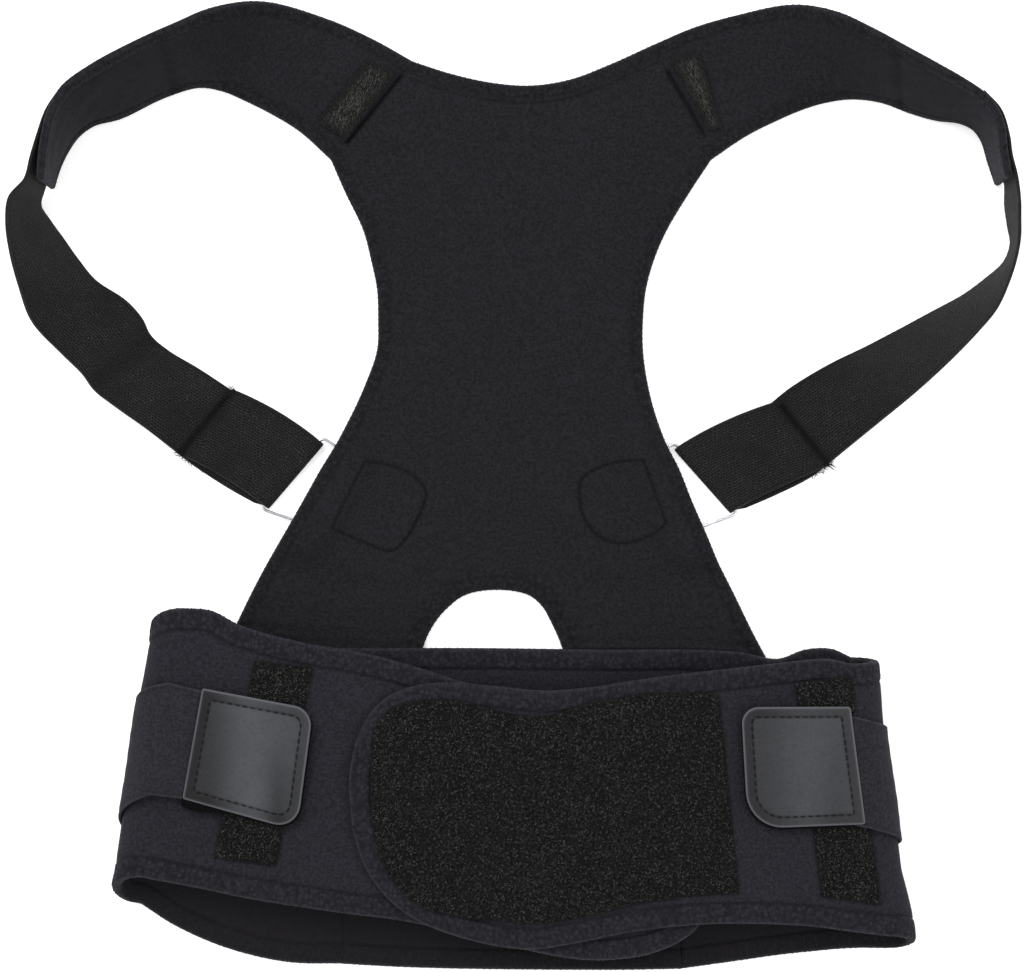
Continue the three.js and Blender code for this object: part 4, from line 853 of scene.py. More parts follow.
floor_mesh = bpy.data.meshes.new("floor")
floor_mesh.from_pydata([(-6, -6, 0), (6, -6, 0), (6, 6, 0), (-6, 6, 0)], [], [(0, 1, 2, 3)])
floor = bpy.data.objects.new("floor", floor_mesh)
bpy.context.scene.collection.objects.link(floor)
paper = Nodes("paper")
paper.finish(paper.blend(paper.noise(paper.place(), 3.0), (0.92, 0.92, 0.92, 1), (0.95, 0.95, 0.95, 1)), 0.9, Specular_IOR_Level=0.1, Emission_Color=(1, 1, 1, 1), Emission_Strength=0.35)
floor_mesh.materials.append(paper.look)

# ---------------------------------------------------------------- rings
def fold_frame(side):
    f = FOLD_BACK[side]["fold"]
    a, b = vec(f["topX"], f["topY"], 0), vec(f["lowX"], f["lowY"], 0)
    along = unit(b - a)
    return a, b, along, vec(-along[1], along[0], 0) * (1 if side == "left" else -1)


RINGS = {}
for side in SIDES:
    a, b, along, to_panel = fold_frame(side)
    lift = vec(0, 0, STRAP_WIRE_Z)
    RINGS[side] = dict(INNER_BAR[side], A=a - along * OVERHANG - to_panel * FOLD_REACH + lift, D=b + along * OVERHANG - to_panel * FOLD_REACH + lift)


def wire_ring(name, corners, radius, bend, look, sides=14):
    path = []
    for k, c in enumerate(corners):
        before, after = corners[k - 1], corners[(k + 1) % len(corners)]
        start, end = c + unit(before - c) * bend, c + unit(after - c) * bend
        for t in np.linspace(0, 1, 9):
            path.append((1 - t) ** 2 * start + 2 * t * (1 - t) * c + t * t * end)
        reach = after + unit(c - after) * bend
        for t in np.linspace(0, 1, 14)[1:-1]:
            path.append(mix(end, reach, t))
    C = np.array(path)
    run = unit(np.roll(C, -1, 0) - np.roll(C, 1, 0))
    side = unit(np.cross(run, vec(0, 0, 1)))
    up = np.cross(side, run)
    a = 2 * math.pi * np.arange(sides) / sides
    V = (C[:, None] + radius * (side[:, None] * np.cos(a)[:, None] + up[:, None] * np.sin(a)[:, None])).reshape(-1, 3)
    n = len(C)
    k, j = np.meshgrid(np.arange(n), np.arange(sides), indexing="ij")
    k2, j2 = (k + 1) % n, (j + 1) % sides
    quads = np.stack([k * sides + j, k * sides + j2, k2 * sides + j2, k2 * sides + j], -1).reshape(-1, 4)
    return build(name, V, [quads], look, np.zeros((len(V), 2)))


rings = {}
for side in SIDES:
    r = RINGS[side]
    rings[side] = wire_ring(f"ring_{side}", [r["A"], r["B"], r["C"], r["D"]], WIRE_R * 0.8, 3.2, WIRE)
    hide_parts(f"strap_ring_{side}")


def edge_pair(row, z=None):
    z = row["z"] if z is None else z
    return vec(row["topX"], row["topY"], z), vec(row["lowX"], row["lowY"], z)


def strip_of(pairs, thickness, per=16, **more):
    A, B = np.array([p[0] for p in pairs]), np.array([p[1] for p in pairs])
    return Strip(catmull(A, per), catmull(B, per), thickness, **more)


def rim_attrs(edge, W):
    return dict(band=1 - smooth(W - 0.7, W + 0.1, edge), groove=bell(edge - W, 0.8), rim=bell(edge - 0.5, 0.6))


RIM = rim(1.2)
ring_tabs = {}
for side in SIDES:
    rows, ring = TAB_OUTLINES[side], RINGS[side]
    along = unit((ring["C"] - ring["B"]) * vec(1, 1, 0))
    inward = vec(-along[1], along[0], 0) * (1 if side == "left" else -1)
    lower = [edge_pair(row, TAB_T / 2) for row in rows[:0:-1]]
    on_bar = [ring["B"] + along * ((p - ring["B"]) * vec(1, 1, 0)).dot(along) for p in edge_pair(rows[0], 0)]
    radius = WIRE_R + GAP + TAB_T / 2
    moved = lambda d, z: [(p + inward * d) * vec(1, 1, 0) + vec(0, 0, z) for p in on_bar]
    A, B = catmull([p[0] for p in lower], 10), catmull([p[1] for p in lower], 10)
    turn = [moved(-radius * math.sin(t), TAB_WIRE_Z - radius * math.cos(t)) for t in np.linspace(0, math.pi, 19)]
    back = [moved(d, mix(TAB_WIRE_Z + radius, TAB_T * 1.5 + GAP, float(smooth(1, 8, d)))) for d in np.linspace(1, 13, 13)]
    A = np.concatenate([A, [p[0] for p in turn + back]])
    B = np.concatenate([B, [p[1] for p in turn + back]])
    strip = Strip(A, B, TAB_T, outer=lambda p: -inward * ((p[..., 2:] > 2) & (p[..., 2:] < 3)))
    relief = lambda f: (0.10 * waves(f["P"], 7, 3), 0, dict(band=0 * f["edge"], groove=bell(f["edge"] - 2.2, 0.5), rim=bell(f["edge"] - 0.3, 0.5)))
    tab = strip_piece(f"ring_tab_cloth_{side}", strip, TAB_CLOTH, 1.0, 22, RIM[:4] + [1.4, 2.2], RIM[:4] + [1.4, 2.2], RIM[:4], RIM[:4], relief=relief)
    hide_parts(f"ring_tab_{side}")
    ring_tabs[side] = (tab, strip)

# ---------------------------------------------------------------- back panel
def seg_far(x, y, p, q):
    d = vec(q[0] - p[0], q[1] - p[1])
    t = np.clip(((x - p[0]) * d[0] + (y - p[1]) * d[1]) / d.dot(d), 0, 1)
    return np.hypot(x - p[0] - t * d[0], y - p[1] - t * d[1])


def under_panel(x, y):
    z = 0 * x
    for side in SIDES:
        far = seg_far(x, y, RINGS[side]["B"], RINGS[side]["C"])
        z = np.maximum(z, (TAB_T * 2 + WIRE_R * 2 + GAP * 3 + 0.3) * (1 - smooth(9.5, 24, far)))
        for row in TAB_OUTLINES[side][1:]:
            off = seg_far(x, y, (row["topX"], row["topY"]), (row["lowX"], row["lowY"]))
            z = np.maximum(z, (TAB_T + GAP + 0.1) * (1 - smooth(11, 19, off)))
    return z


ys = [r["y"] for r in PANEL_ROWS]
neck = catmull([(p["x"], p["y"]) for p in NECK], 20)
edge_left = catmull([(r["left"], r["y"]) for r in PANEL_ROWS], 14)
edge_right = catmull([(r["right"], r["y"]) for r in PANEL_ROWS], 14)
arch = catmull([(r["right"], r["y"]) for r in ARCH_ROWS[::-1]] + [(r["left"], r["y"]) for r in ARCH_ROWS], 12)
seam_left = np.array([edge_left[0], neck[0]])
seam_right = np.array([neck[-1], edge_right[0]])
outline = [
    respace(neck, 1.2), respace(seam_right, 1.2), respace(edge_right, 1.2),
    respace(np.array([edge_right[-1], arch[0]]), 1.2), respace(arch, 1.2),
    respace(np.array([arch[-1], edge_left[-1]]), 1.2), respace(edge_left[::-1], 1.2), respace(seam_left, 1.2),
]
free_edges = [neck, edge_right, arch, edge_left]
outline = np.concatenate([part[:-1] for part in outline])
PANEL_BAND = 6.2
# The sewn outlines that hold the ring tabs. The first and last corner are joined by a straight seam.
D_LINES = dict(
    left=[dict(x=-70.2, y=11.6), dict(x=-59.0, y=10.1), dict(x=-46.6, y=4.4), dict(x=-41.2, y=-2.9), dict(x=-44.4, y=-13.9), dict(x=-51.8, y=-26.6), dict(x=-57.8, y=-31.0), dict(x=-70.5, y=-27.2), dict(x=-86.1, y=-20.1)],
    right=[dict(x=62.8, y=12.2), dict(x=53.9, y=12.0), dict(x=42.2, y=9.1), dict(x=33.6, y=3.6), dict(x=32.4, y=-7.2), dict(x=36.7, y=-18.9), dict(x=43.6, y=-25.2), dict(x=52.7, y=-27.3), dict(x=65.7, y=-24.0), dict(x=73.8, y=-18.2)],
)
d_paths = {}
for side in SIDES:
    curve = catmull([(r["x"], r["y"]) for r in D_LINES[side]], 12)
    d_paths[side] = np.concatenate([curve, respace(curve[[-1, 0]], 1.0)[1:]])
CREASE = catmull([(4.0, 76.0), (6.5, 78.6), (9.6, 78.4), (12.4, 75.8)], 8)
SLITS = {
    "left": np.array([(-53.3, 196.3), (-78.9, 164.8)]),
    "right": np.array([(74.6, 198.4), (92.2, 168.6)]),
}


def slit_depth(xy, side):
    """How deep the opening between strap and panel is, along their common seam."""
    d, t = distance_to(xy, SLITS[side])
    return bell(d, 1.1)


def panel_soft(xy, edge):
    return 0.30 * waves(xy, 46, 4) * smooth(2, 14, edge) + 0.10 * waves(xy, 14, 5) * smooth(2, 8, edge)


def panel_relief(xy):
    edge = np.full(len(xy), 1e3)
    for poly in free_edges:
        edge = np.minimum(edge, distance_to(xy, poly)[0])
    x, y = xy[:, 0], xy[:, 1]
    W = PANEL_BAND
    top = 0.16 * smooth(0.5, 1.8, edge) * (1 - smooth(W - 1.2, W, edge)) - 0.16 * bell(edge - W, 0.7)
    groove = 0.28 * bell(edge - W, 0.7)
    for side in SIDES:
        d, _ = distance_to(xy, d_paths[side])
        top = top - 0.5 * bell(d, 0.7) + 0.22 * bell(d - 1.9, 1.0)
        groove = np.maximum(groove, 0.9 * bell(d, 0.7))
        # painted shade: the slit is sunk and painted dark
        slit = slit_depth(xy, side)
        top = top - 2.3 * slit
        groove = np.maximum(groove, slit)
    # a small crease, sunk and painted darker as painted shade
    d, t = distance_to(xy, CREASE)
    top = top - 0.25 * bell(d, 0.8)
    groove = np.maximum(groove, 0.35 * bell(d, 0.8))
    # shallow neck seam below the bound edge
    d, _ = distance_to(xy, neck)
    line = bell(d - 8.4, 0.6)
    top = top - 0.2 * line
    groove = np.maximum(groove, 0.45 * line)
    # soft wrinkles where the legs run under the belt, and a gentle undulation elsewhere
    low = smooth(-56, -76, y) * smooth(14, 26, np.abs(x - 4))
    top = top + low * 0.45 * np.sin(y * 1.15 + 0.04 * x + 1.2 * np.sin(x * 0.06)) * smooth(1.5, 5, edge)
    top = top + panel_soft(xy, edge)
    # round the arch the cloth is rubbed and mottled well past the threads
    rubbed = 0.85 * (1 - smooth(8, 12.5, distance_to(xy, arch)[0] + 1.2 * waves(xy, 9, 8)))
    return edge, top, dict(band=np.maximum(1 - smooth(W - 0.7, W + 0.1, edge), rubbed), groove=groove, rim=bell(edge - 0.5, 0.6), lining=0 * edge)


def hex_grid(lo, hi, step):
    rows = []
    for k, y in enumerate(np.arange(lo[1], hi[1], step * 0.866)):
        xs = np.arange(lo[0] + (k % 2) * step / 2, hi[0], step)
        rows.append(np.stack([xs, np.full(len(xs), y)], 1))
    return np.concatenate(rows)


def cut_out(outline, near, step, extra=()):
    """A fine triangulation of a flat outline, with rows of points along its edge."""
    loop = np.concatenate([outline, outline[:1]])
    run = unit(np.roll(outline, -1, 0) - np.roll(outline, 1, 0))
    normal = np.stack([-run[:, 1], run[:, 0]], 1)
    mid = outline + normal * 0.5
    if inside(mid, outline).mean() < 0.5:
        normal = -normal
    points = [outline]
    for d in near:
        ring = outline + normal * d
        far, _ = distance_to(ring, loop)
        points.append(ring[(far > d - 0.03) & inside(ring, outline)])
    grid = hex_grid(outline.min(0), outline.max(0), step)
    grid = grid[inside(grid, outline)]
    far, _ = distance_to(grid, loop)
    grid = grid[far > near[-1] + 0.6 * step]
    taken = np.zeros(len(grid), bool)
    for line in extra:
        p = respace(line, 1.0)
        side = unit(np.gradient(p, axis=0))
        side = np.stack([-side[:, 1], side[:, 0]], 1)
        taken |= distance_to(grid, line)[0] < 2.6
        for off in (-2.2, -1.3, -0.6, 0, 0.6, 1.3, 2.2):
            q = p + side * off
            far, _ = distance_to(q, loop)
            points.append(q[(far > near[-1]) & inside(q, outline)])
    points.append(grid[~taken])
    P = np.concatenate(points)
    n = len(outline)
    out = delaunay_2d_cdt([Vector(p) for p in P.tolist()], [(k, (k + 1) % n) for k in range(n)], [], 1, 1e-5)
    xy = np.array([tuple(v) for v in out[0]])
    faces = np.array([tuple(f) for f in out[2] if len(f) == 3])
    return xy, faces


def flat_piece(name, outline, near, step, look, bottom, thickness, relief, extra=(), flush=()):
    """A closed flat piece of cloth. flush: not used."""
    xy, faces = cut_out(outline, near, step, extra)
    loop = np.concatenate([outline, outline[:1]])
    far, _ = distance_to(xy, loop)
    rim_far = far.copy()
    r = min(thickness / 2, 1.4)
    edge, top, attrs = relief(xy)
    on_edge = far < 1e-3
    q = np.clip(np.minimum(edge, 1e3) / r, 0, 1)
    half = thickness / 2 * np.sqrt(np.maximum(0, 1 - (1 - q) ** 2))
    half[on_edge & (edge < 0.02)] = 0
    base = bottom(xy[:, 0], xy[:, 1])
    mid = base + thickness / 2
    share = half / (thickness / 2)
    up = np.column_stack([xy, mid + half + top * share])
    low = np.column_stack([xy, np.maximum(mid - half, 0.02)])
    n = len(xy)
    idB = np.where(on_edge & (half == 0), np.arange(n), np.arange(n) + n)
    polys = [faces, idB[faces][:, ::-1]]
    # walls where the border keeps its full thickness
    e = np.concatenate([faces[:, [0, 1]], faces[:, [1, 2]], faces[:, [2, 0]]])
    key = np.sort(e, 1)
    _, first, count = np.unique(key[:, 0] * n + key[:, 1], return_index=True, return_counts=True)
    border = e[first[count == 1]]
    quads, tris = [], []
    for a, b in border.tolist():
        face = list(dict.fromkeys([b, a, idB[a], idB[b]]))
        if len(face) == 4:
            quads.append(face)
        elif len(face) == 3:
            tris.append(face)
    polys += [np.array(x) for x in (quads, tris) if x]
    both = {k: np.concatenate([np.asarray(x, float)] * 2) for k, x in attrs.items()}
    obj = build(name, np.concatenate([up, low]), polys, look, np.concatenate([xy, xy]), both)
    a, b, c = xy[faces[:, 0]], xy[faces[:, 1]], xy[faces[:, 2]]
    obj["flat_area"] = float(0.5e-6 * np.abs((b[:, 0] - a[:, 0]) * (c[:, 1] - a[:, 1]) - (b[:, 1] - a[:, 1]) * (c[:, 0] - a[:, 0])).sum())
    return obj


NEAR_PANEL = RIM[1:] + [2.2, 3.6, 4.8, 5.4, 5.8, 6.2, 6.6, 7.1, 8.0, 8.6, 9.6]
panel = flat_piece("panel_cloth", outline, NEAR_PANEL, 2.3, NEOPRENE, under_panel, PANEL_T, panel_relief, extra=[d_paths["left"], d_paths["right"], CREASE])
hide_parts("back_panel")


def panel_top(xy, lift=0.0):
    z = under_panel(xy[:, 0], xy[:, 1]) + PANEL_T + lift
    return np.column_stack([xy, z])


def panel_path(line, lift=0.0):
    s = length_along(line)

    def at(t):
        shape = t.shape
        xy = np.stack([np.interp(t.ravel(), s, line[:, k]) for k in (0, 1)], 1)
        P = panel_top(xy, lift).reshape(*shape, 3)
        return P, np.broadcast_to(vec(0, 0, 1), P.shape)

    return s[-1], at


def shifted(line, by):
    run = unit(np.gradient(line, axis=0))
    return line + np.stack([-run[:, 1], run[:, 0]], 1) * by

# ---------------------------------------------------------------- straps
def station(row, thickness):
    tilt, heading = math.radians(row["tilt"]), math.radians(row["dir"])
    a = vec(row["x"], row["y"], thickness / 2 * abs(math.cos(tilt)))
    across = vec(math.cos(heading) * math.cos(tilt), math.sin(heading) * math.cos(tilt), math.sin(tilt))
    return a, a + across * row["width"]


def shoulder_soft(P, edge):
    return (0.30 * waves(P, 34, 6) + 0.12 * waves(P, 12, 7)) * smooth(1, 8, edge)


NEAR_BAND = RIM + [2.2, 3.6, 4.8, 5.4, 5.8, 6.2, 6.6, 7.1, 8.0]
shoulders, shoulder_strips, elastics, elastic_strips = {}, {}, {}, {}
for side in SIDES:
    away = -1 if side == "left" else 1
    pairs = [station(row, SHOULDER_T) for row in SHOULDER[side]]
    # the strap goes on from the panel without a gap
    corner = (edge_left[0], neck[0]) if side == "left" else (edge_right[0], neck[-1])
    pairs[0] = tuple(vec(*c, SHOULDER_T / 2) for c in corner)
    strap = strip_of(pairs, SHOULDER_T, 16, outer=lambda p: vec(0, 0, 1) * (p[..., 2:] < 6))
    shoulder_strips[side] = strap

    def relief(f, side=side):
        edge, P = f["edge"], f["P"]
        W = PANEL_BAND
        slit = slit_depth(P[..., :2].reshape(-1, 2), side).reshape(edge.shape) * (P[..., 2] < 4)
        top = 0.16 * smooth(0.5, 1.8, edge) * (1 - smooth(W - 1.2, W, edge)) - 0.16 * bell(edge - W, 0.7) - 2.3 * slit
        bend = smooth(30, 60, f["s"]) * (1 - smooth(95, 130, f["s"]))
        crease = 0.35 * bend * np.sin(f["s"] * 0.9 + f["v"] * 3) * smooth(0.1, 0.5, f["v"] * (1 - f["v"]) * 4)
        # the kink where the strap turns on edge, sunk and painted darker as painted shade
        kink = bell(P[..., 0] + 0.16 * (P[..., 1] - 200) + 163, 3.0) if side == "left" else bell(P[..., 0] + 0.28 * (P[..., 1] - 200) - 182, 2.2)
        top_kink = -0.9 * kink * smooth(1, 5, edge)
        top = top + shoulder_soft(P, edge) + crease * 0.5 + top_kink
        attrs = rim_attrs(edge, W)
        # painted shade: the slit and the kink are marked dark
        attrs["groove"] = np.maximum(np.maximum(0.28 * attrs["groove"], slit), 0.45 * kink)
        attrs["lining"] = 0 * edge
        return top, 0.16 * smooth(0.5, 1.8, edge) * (1 - smooth(W - 1.2, W, edge)) - 0.16 * bell(edge - W, 0.7), attrs

    piece = strip_piece(f"shoulder_cloth_{side}", strap, NEOPRENE, 1.6, 26, NEAR_BAND, NEAR_BAND, [0, 0.3, 0.7, 1.2, 1.8, 2.6], RIM + [2.4], free="abe", relief=relief)
    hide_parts(f"shoulder_strap_{side}")
    shoulders[side] = piece

    # webbing: sewn to the strap's outer face, then to the ring and back on itself
    coarse = [station(row, SHOULDER_T) for row in SHOULDER[side]]
    picks = [strap.length - d for d in ((42.0, 31.0, 20.0, 10.0, 0.0) if side == "left" else (40.0, 30.0, 20.0, 10.0, 0.0))]
    lap, outward, splay = [], SHOULDER_T / 2 + GAP + WEBBING_T / 2, 4.6 if side == "left" else 0.9
    for k, s in enumerate(picks):
        a, b = strap.edge(strap.A, s), strap.edge(strap.B, s)
        n = strap.normal(s, 0.5)
        n = -n if n[0] * away < 0 else n
        margin = (1 - WEBBING_W / np.linalg.norm(b - a)) / 2
        lap.append((mix(a, b, margin) + n * outward, mix(a, b, 1 - margin) + n * (outward + splay * (k / 4) ** 2)))
    run = [station(row, WEBBING_T) for row in ELASTIC_RUN[side]]
    a, b, along, to_panel = fold_frame(side)
    end = FOLD_BACK[side]["end"]
    tail = (vec(end["topX"], end["topY"], 0), vec(end["lowX"], end["lowY"], 0))
    at = lambda p, q, d, z: tuple((x + to_panel * d) * vec(1, 1, 0) + vec(0, 0, z) for x in (p, q))
    low, high = WEBBING_T / 2, WEBBING_T * 1.5 + GAP + 0.15
    # under its own end the strap lies a little lower than the layer on top
    approach = []
    for t, slip in ((0.8, 1.4), (0.4, 2.0), (0.1, 1.5)):
        approach.append(tuple((mix(p - to_panel * FOLD_REACH, q, t) + along * slip) * vec(1, 1, 0) + vec(0, 0, low) for p, q in zip((a, b), tail)))
    pairs = lap + run + approach
    A, B = catmull([p[0] for p in pairs], 14), catmull([p[1] for p in pairs], 14)
    turn = [at(a, b, -FOLD_REACH + FOLD_R * math.sin(t), STRAP_WIRE_Z - FOLD_R * math.cos(t)) for t in np.linspace(0, math.pi, 21)]
    back = []
    for t in np.linspace(0.04, 1, 26):
        z = mix(STRAP_WIRE_Z + FOLD_R, high, float(smooth(0, 0.3, t)))
        swell = [-along * 1.9 * math.sin(math.pi * t) ** 0.8, -along * (1.3 if side == "left" else 0.7) * math.sin(math.pi * t)]
        back.append(tuple((mix(p - to_panel * FOLD_REACH, q, t) + o) * vec(1, 1, 0) + vec(0, 0, z) for p, q, o in zip((a, b), tail, swell)))
    A = np.concatenate([A, [p[0] for p in turn + back]])
    B = np.concatenate([B, [p[1] for p in turn + back]])
    web = Strip(A, B, WEBBING_T, outer=lambda p: -to_panel * ((p[..., 2:] < 3.2) & (p[..., 2:] > 2.6)) * 0 + vec(0, 0, 1) * (p[..., 2:] > 3))
    elastic_strips[side] = web
    fold_at = web.length - 26 - np.linalg.norm(tail[0] - a)

    def relief(f, side=side):
        edge, P = f["edge"], f["P"]
        # a firm selvage, ribs across, and the sewn line near the end
        selvage = bell(edge - 1.3, 0.5)
        ribs = 0.05 * np.sin(f["s"] * 2 * math.pi / 3.4)
        sewn = bell(web.length - f["s"] - 3.4, 0.5) + bell(f["s"] - 4.5, 0.5)
        top = ribs - 0.10 * selvage - 0.25 * sewn + 0.12 * waves(P, 18, 9)
        # the step where the strap ends on itself, painted dark on the end and on the lower layer just past it as a
        # painted shadow
        below = seg_far(P[..., 0], P[..., 1], tail[0], tail[1])
        lower = f["s"] < web.length - np.linalg.norm(tail[0] - a) - 8
        ends = np.maximum(bell(web.length - f["s"] - 0.2, 1.3), lower * (1 - smooth(1.7, 3.6, below)))
        # the left strap dips across its width beside the kink, and the dip is painted darker as painted shade
        dip = bell(seg_far(P[..., 0], P[..., 1], vec(-171, 72), vec(-198, 50)), 5.5) * (side == "left") * lower
        top = top - 0.7 * dip * smooth(0.4, 3, edge)
        shade = np.maximum(np.maximum(0.3 * selvage, 0.7 * sewn), 0.35 * dip)
        return top, -0.10 * selvage, dict(band=0 * edge, groove=np.maximum(shade, ends), rim=bell(edge - 0.3, 0.4) * (1 - ends))

    piece = strip_piece(f"webbing_{side}", web, WEBBING, 1.2, 30, RIM[:4] + [0.9, 1.3, 1.8], RIM[:4] + [0.9, 1.3, 1.8], RIM[:4] + [0.9], RIM[:4] + [0.9, 1.6], relief=relief)
    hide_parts(f"elastic_strap_{side}")
    elastics[side] = piece

# ---------------------------------------------------------------- waist belt
def over_legs(p):
    return np.where(p[..., 2] < REAR_Z + 1, LEG_RISE * smooth(LEG_END_Y - 20, LEG_END_Y - 7, p[..., 1]), 0.0)


def right_sway(p):
    """The right fold is drawn in by its band and flares out below it."""
    near = smooth(140, 172, p[..., 0])
    return near * (-2.4 * bell(p[..., 1] + 126, 46) + 2.2 * smooth(-180, -206, p[..., 1]))


BELT_BAND = 10.0
NEAR_BELT = rim(1.4) + [2.4, 3.8, 5.4, 7.2, 8.6, 9.2, 9.6, 10.0, 10.4, 10.9, 12.0]


def belt_soft(P, edge, seed=0):
    """The soft undulation of the belt's cloth, which its threads follow."""
    return (0.5 * waves(P, 52, 11 + seed) + 0.18 * waves(P, 17, 12 + seed)) * smooth(1, 9, edge)


def belt_relief(f, seed=0):
    edge, P = f["edge"], f["P"]
    W = BELT_BAND
    lift = 0.30 * smooth(0.4, 2.0, edge) * (1 - smooth(W - 1.4, W, edge)) - 0.40 * bell(edge - W, 0.7)
    soft = belt_soft(P, edge, seed)
    seam = 0.5 * bell(f["s"], 0.8)
    attrs = rim_attrs(edge, W)
    attrs["groove"] = np.maximum(attrs["groove"], 0.8 * seam)
    rear = 1 - smooth(REAR_Z + 3, REAR_Z + 9, P[..., 2])
    attrs["groove"] = 0.55 * attrs["groove"]
    # painted shade with a brownish tint: the low inner face of the rear, towards the bottom, is marked for darkening
    attrs["lining"] = 0.75 * rear * smooth(-110, -150, P[..., 1])
    return lift + soft - 0.8 * seam, lift - soft - 0.8 * seam, attrs


wings, wing_strips, fold_spans = {}, {}, {}
for side in SIDES:
    away, f = (-1 if side == "left" else 1), FOLD[side]
    rear_rows = [dict(r) for r in WING_REAR[side]]
    rear_rows[0]["topX"] = rear_rows[0]["lowX"] = away * REAR_HALF
    from_, to = edge_pair(f["rear"]), edge_pair(f["front"])
    rear = [edge_pair(r) for r in rear_rows] + [from_]
    ahead = [to] + [edge_pair(r) for r in WING_FRONT[side]]
    bulge = vec(away * f["bulge"], 0, 0)
    turn = [[mix(p, q, (1 - math.cos(t)) / 2) + bulge * math.sin(t) for p, q in zip(from_, to)] for t in np.linspace(0, math.pi, 33)]
    edges = []
    for k in (0, 1):
        edges.append(np.concatenate([catmull([p[k] for p in rear], 12)[:-1], [p[k] for p in turn], catmull([p[k] for p in ahead], 12)[1:]]))
    strip = Strip(edges[0], edges[1], BELT_T, rise=over_legs, sway=right_sway if side == "right" else None, outer=lambda p: vec(away, 0, 0) * ((p[..., 2:] > 8) & (p[..., 2:] < 19)))
    wing_strips[side] = strip
    s_rear = length_along((np.array([p[0] for p in turn]) + np.array([p[1] for p in turn])) / 2)[-1]
    start = strip.s[(len(catmull([p[0] for p in rear], 12)) - 1)]
    fold_spans[side] = (start, start + s_rear)
    piece = strip_piece(f"belt_cloth_{side}", strip, BELT_CLOTH, 2.3, 38, NEAR_BELT, NEAR_BELT, [0, 0.35, 0.8, 1.5, 2.5], NEAR_BELT, free="abe", relief=belt_relief)
    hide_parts(f"belt_wing_{side}")
    wings[side] = piece

rear_pairs = [edge_pair(r) for r in BELT_BACK]
rear_strip = strip_of(rear_pairs, BELT_T, 8, rise=over_legs, outer=lambda p: vec(0, 0, -1))


def back_relief(f):
    top, bottom, attrs = belt_relief(f, 5)
    seam = 0.5 * bell(rear_strip.length - f["s"], 0.8)
    attrs["groove"] = np.maximum(attrs["groove"], 0.4 * seam)
    return top - 0.8 * seam, bottom - 0.8 * seam, attrs


belt_rear = strip_piece("belt_cloth_rear", rear_strip, BELT_CLOTH, 2.3, 40, NEAR_BELT, NEAR_BELT, [0, 0.35, 0.8, 1.5, 2.5], [0, 0.35, 0.8, 1.5, 2.5], free="ab", relief=back_relief)
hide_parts("belt_back")

# ---------------------------------------------------------------- what lies on the wings
front_z = {side: sorted(((r["topX"] + r["lowX"]) / 2, r["z"]) for r in WING_FRONT[side]) for side in SIDES}


def wing_z(side, x):
    return np.interp(x, [p[0] for p in front_z[side]], [p[1] for p in front_z[side]])


def on_wing(side, rows, lift, thickness, per=12):
    pairs = [tuple(vec(r[f"{e}X"], r[f"{e}Y"], wing_z(side, r[f"{e}X"]) + lift) for e in ("top", "low")) for r in rows]
    return strip_of(pairs, thickness, per, outer=lambda p: vec(0, 0, 1))


def felt_relief(f):
    edge = f["edge"]
    return 0.12 * waves(f["P"], 3.2, 15) + 0.10 * waves(f["P"], 9, 16), 0, dict(band=0 * edge, groove=0 * edge, rim=bell(edge - 0.3, 0.5))


def scatter_on(strip, spacing, margin, lift=0.0):
    """Jittered points over the whole strip, about one for each spacing squared."""
    area = strip.width(np.linspace(0, strip.length, 40)).mean() * strip.length
    n = int(area / spacing**2)
    s = rng.uniform(margin, strip.length - margin, n * 2)
    w = strip.width(s)
    keep = rng.uniform(0, 1, n * 2) < w / w.max() * 0.5 * (w.max() / w.mean())
    s, w = s[keep], w[keep]
    v = (margin + rng.uniform(0, 1, len(s)) * (w - 2 * margin)) / w
    return strip.on(s, v, lift)


def pile_loops(name, strip, spacing, look, wide=(0.6, 1.3), high=(0.35, 0.95), radius=0.17, points=5):
    P, N = scatter_on(strip, spacing, 0.9, -0.1)
    m = len(P)
    angle = rng.uniform(0, 2 * math.pi, m)
    e1 = unit(np.cross(N, vec(0.31, 0.95, 0)))
    e2 = np.cross(N, e1)
    d = e1 * np.cos(angle)[:, None] + e2 * np.sin(angle)[:, None]
    side = np.cross(N, d)
    t = np.linspace(0, math.pi, points)[None, :, None]
    w, h, lean = rng.uniform(*wide, m), rng.uniform(*high, m), rng.normal(0, 0.35, m)
    C = P[:, None] - d[:, None] * (np.cos(t) * (w / 2)[:, None, None]) + N[:, None] * (np.sin(t) * h[:, None, None]) + side[:, None] * (np.sin(t) * lean[:, None, None])
    U = np.broadcast_to(side[:, None], C.shape)
    return tubes(name, C, U, radius * rng.uniform(0.75, 1.15, (m, 1)) * np.ones((1, points)), look, sides=3)


def strip_patch(side, top, low):
    pairs = [tuple(vec(x, y, wing_z(side, x) + PILE_LIFT) for x, y in (mix(vec(*top[0]), vec(*top[1]), t), mix(vec(*low[0]), vec(*low[1]), t))) for t in np.linspace(0, 1, 5)]
    return strip_of(pairs, PILE_T, 8, outer=lambda p: vec(0, 0, 1))


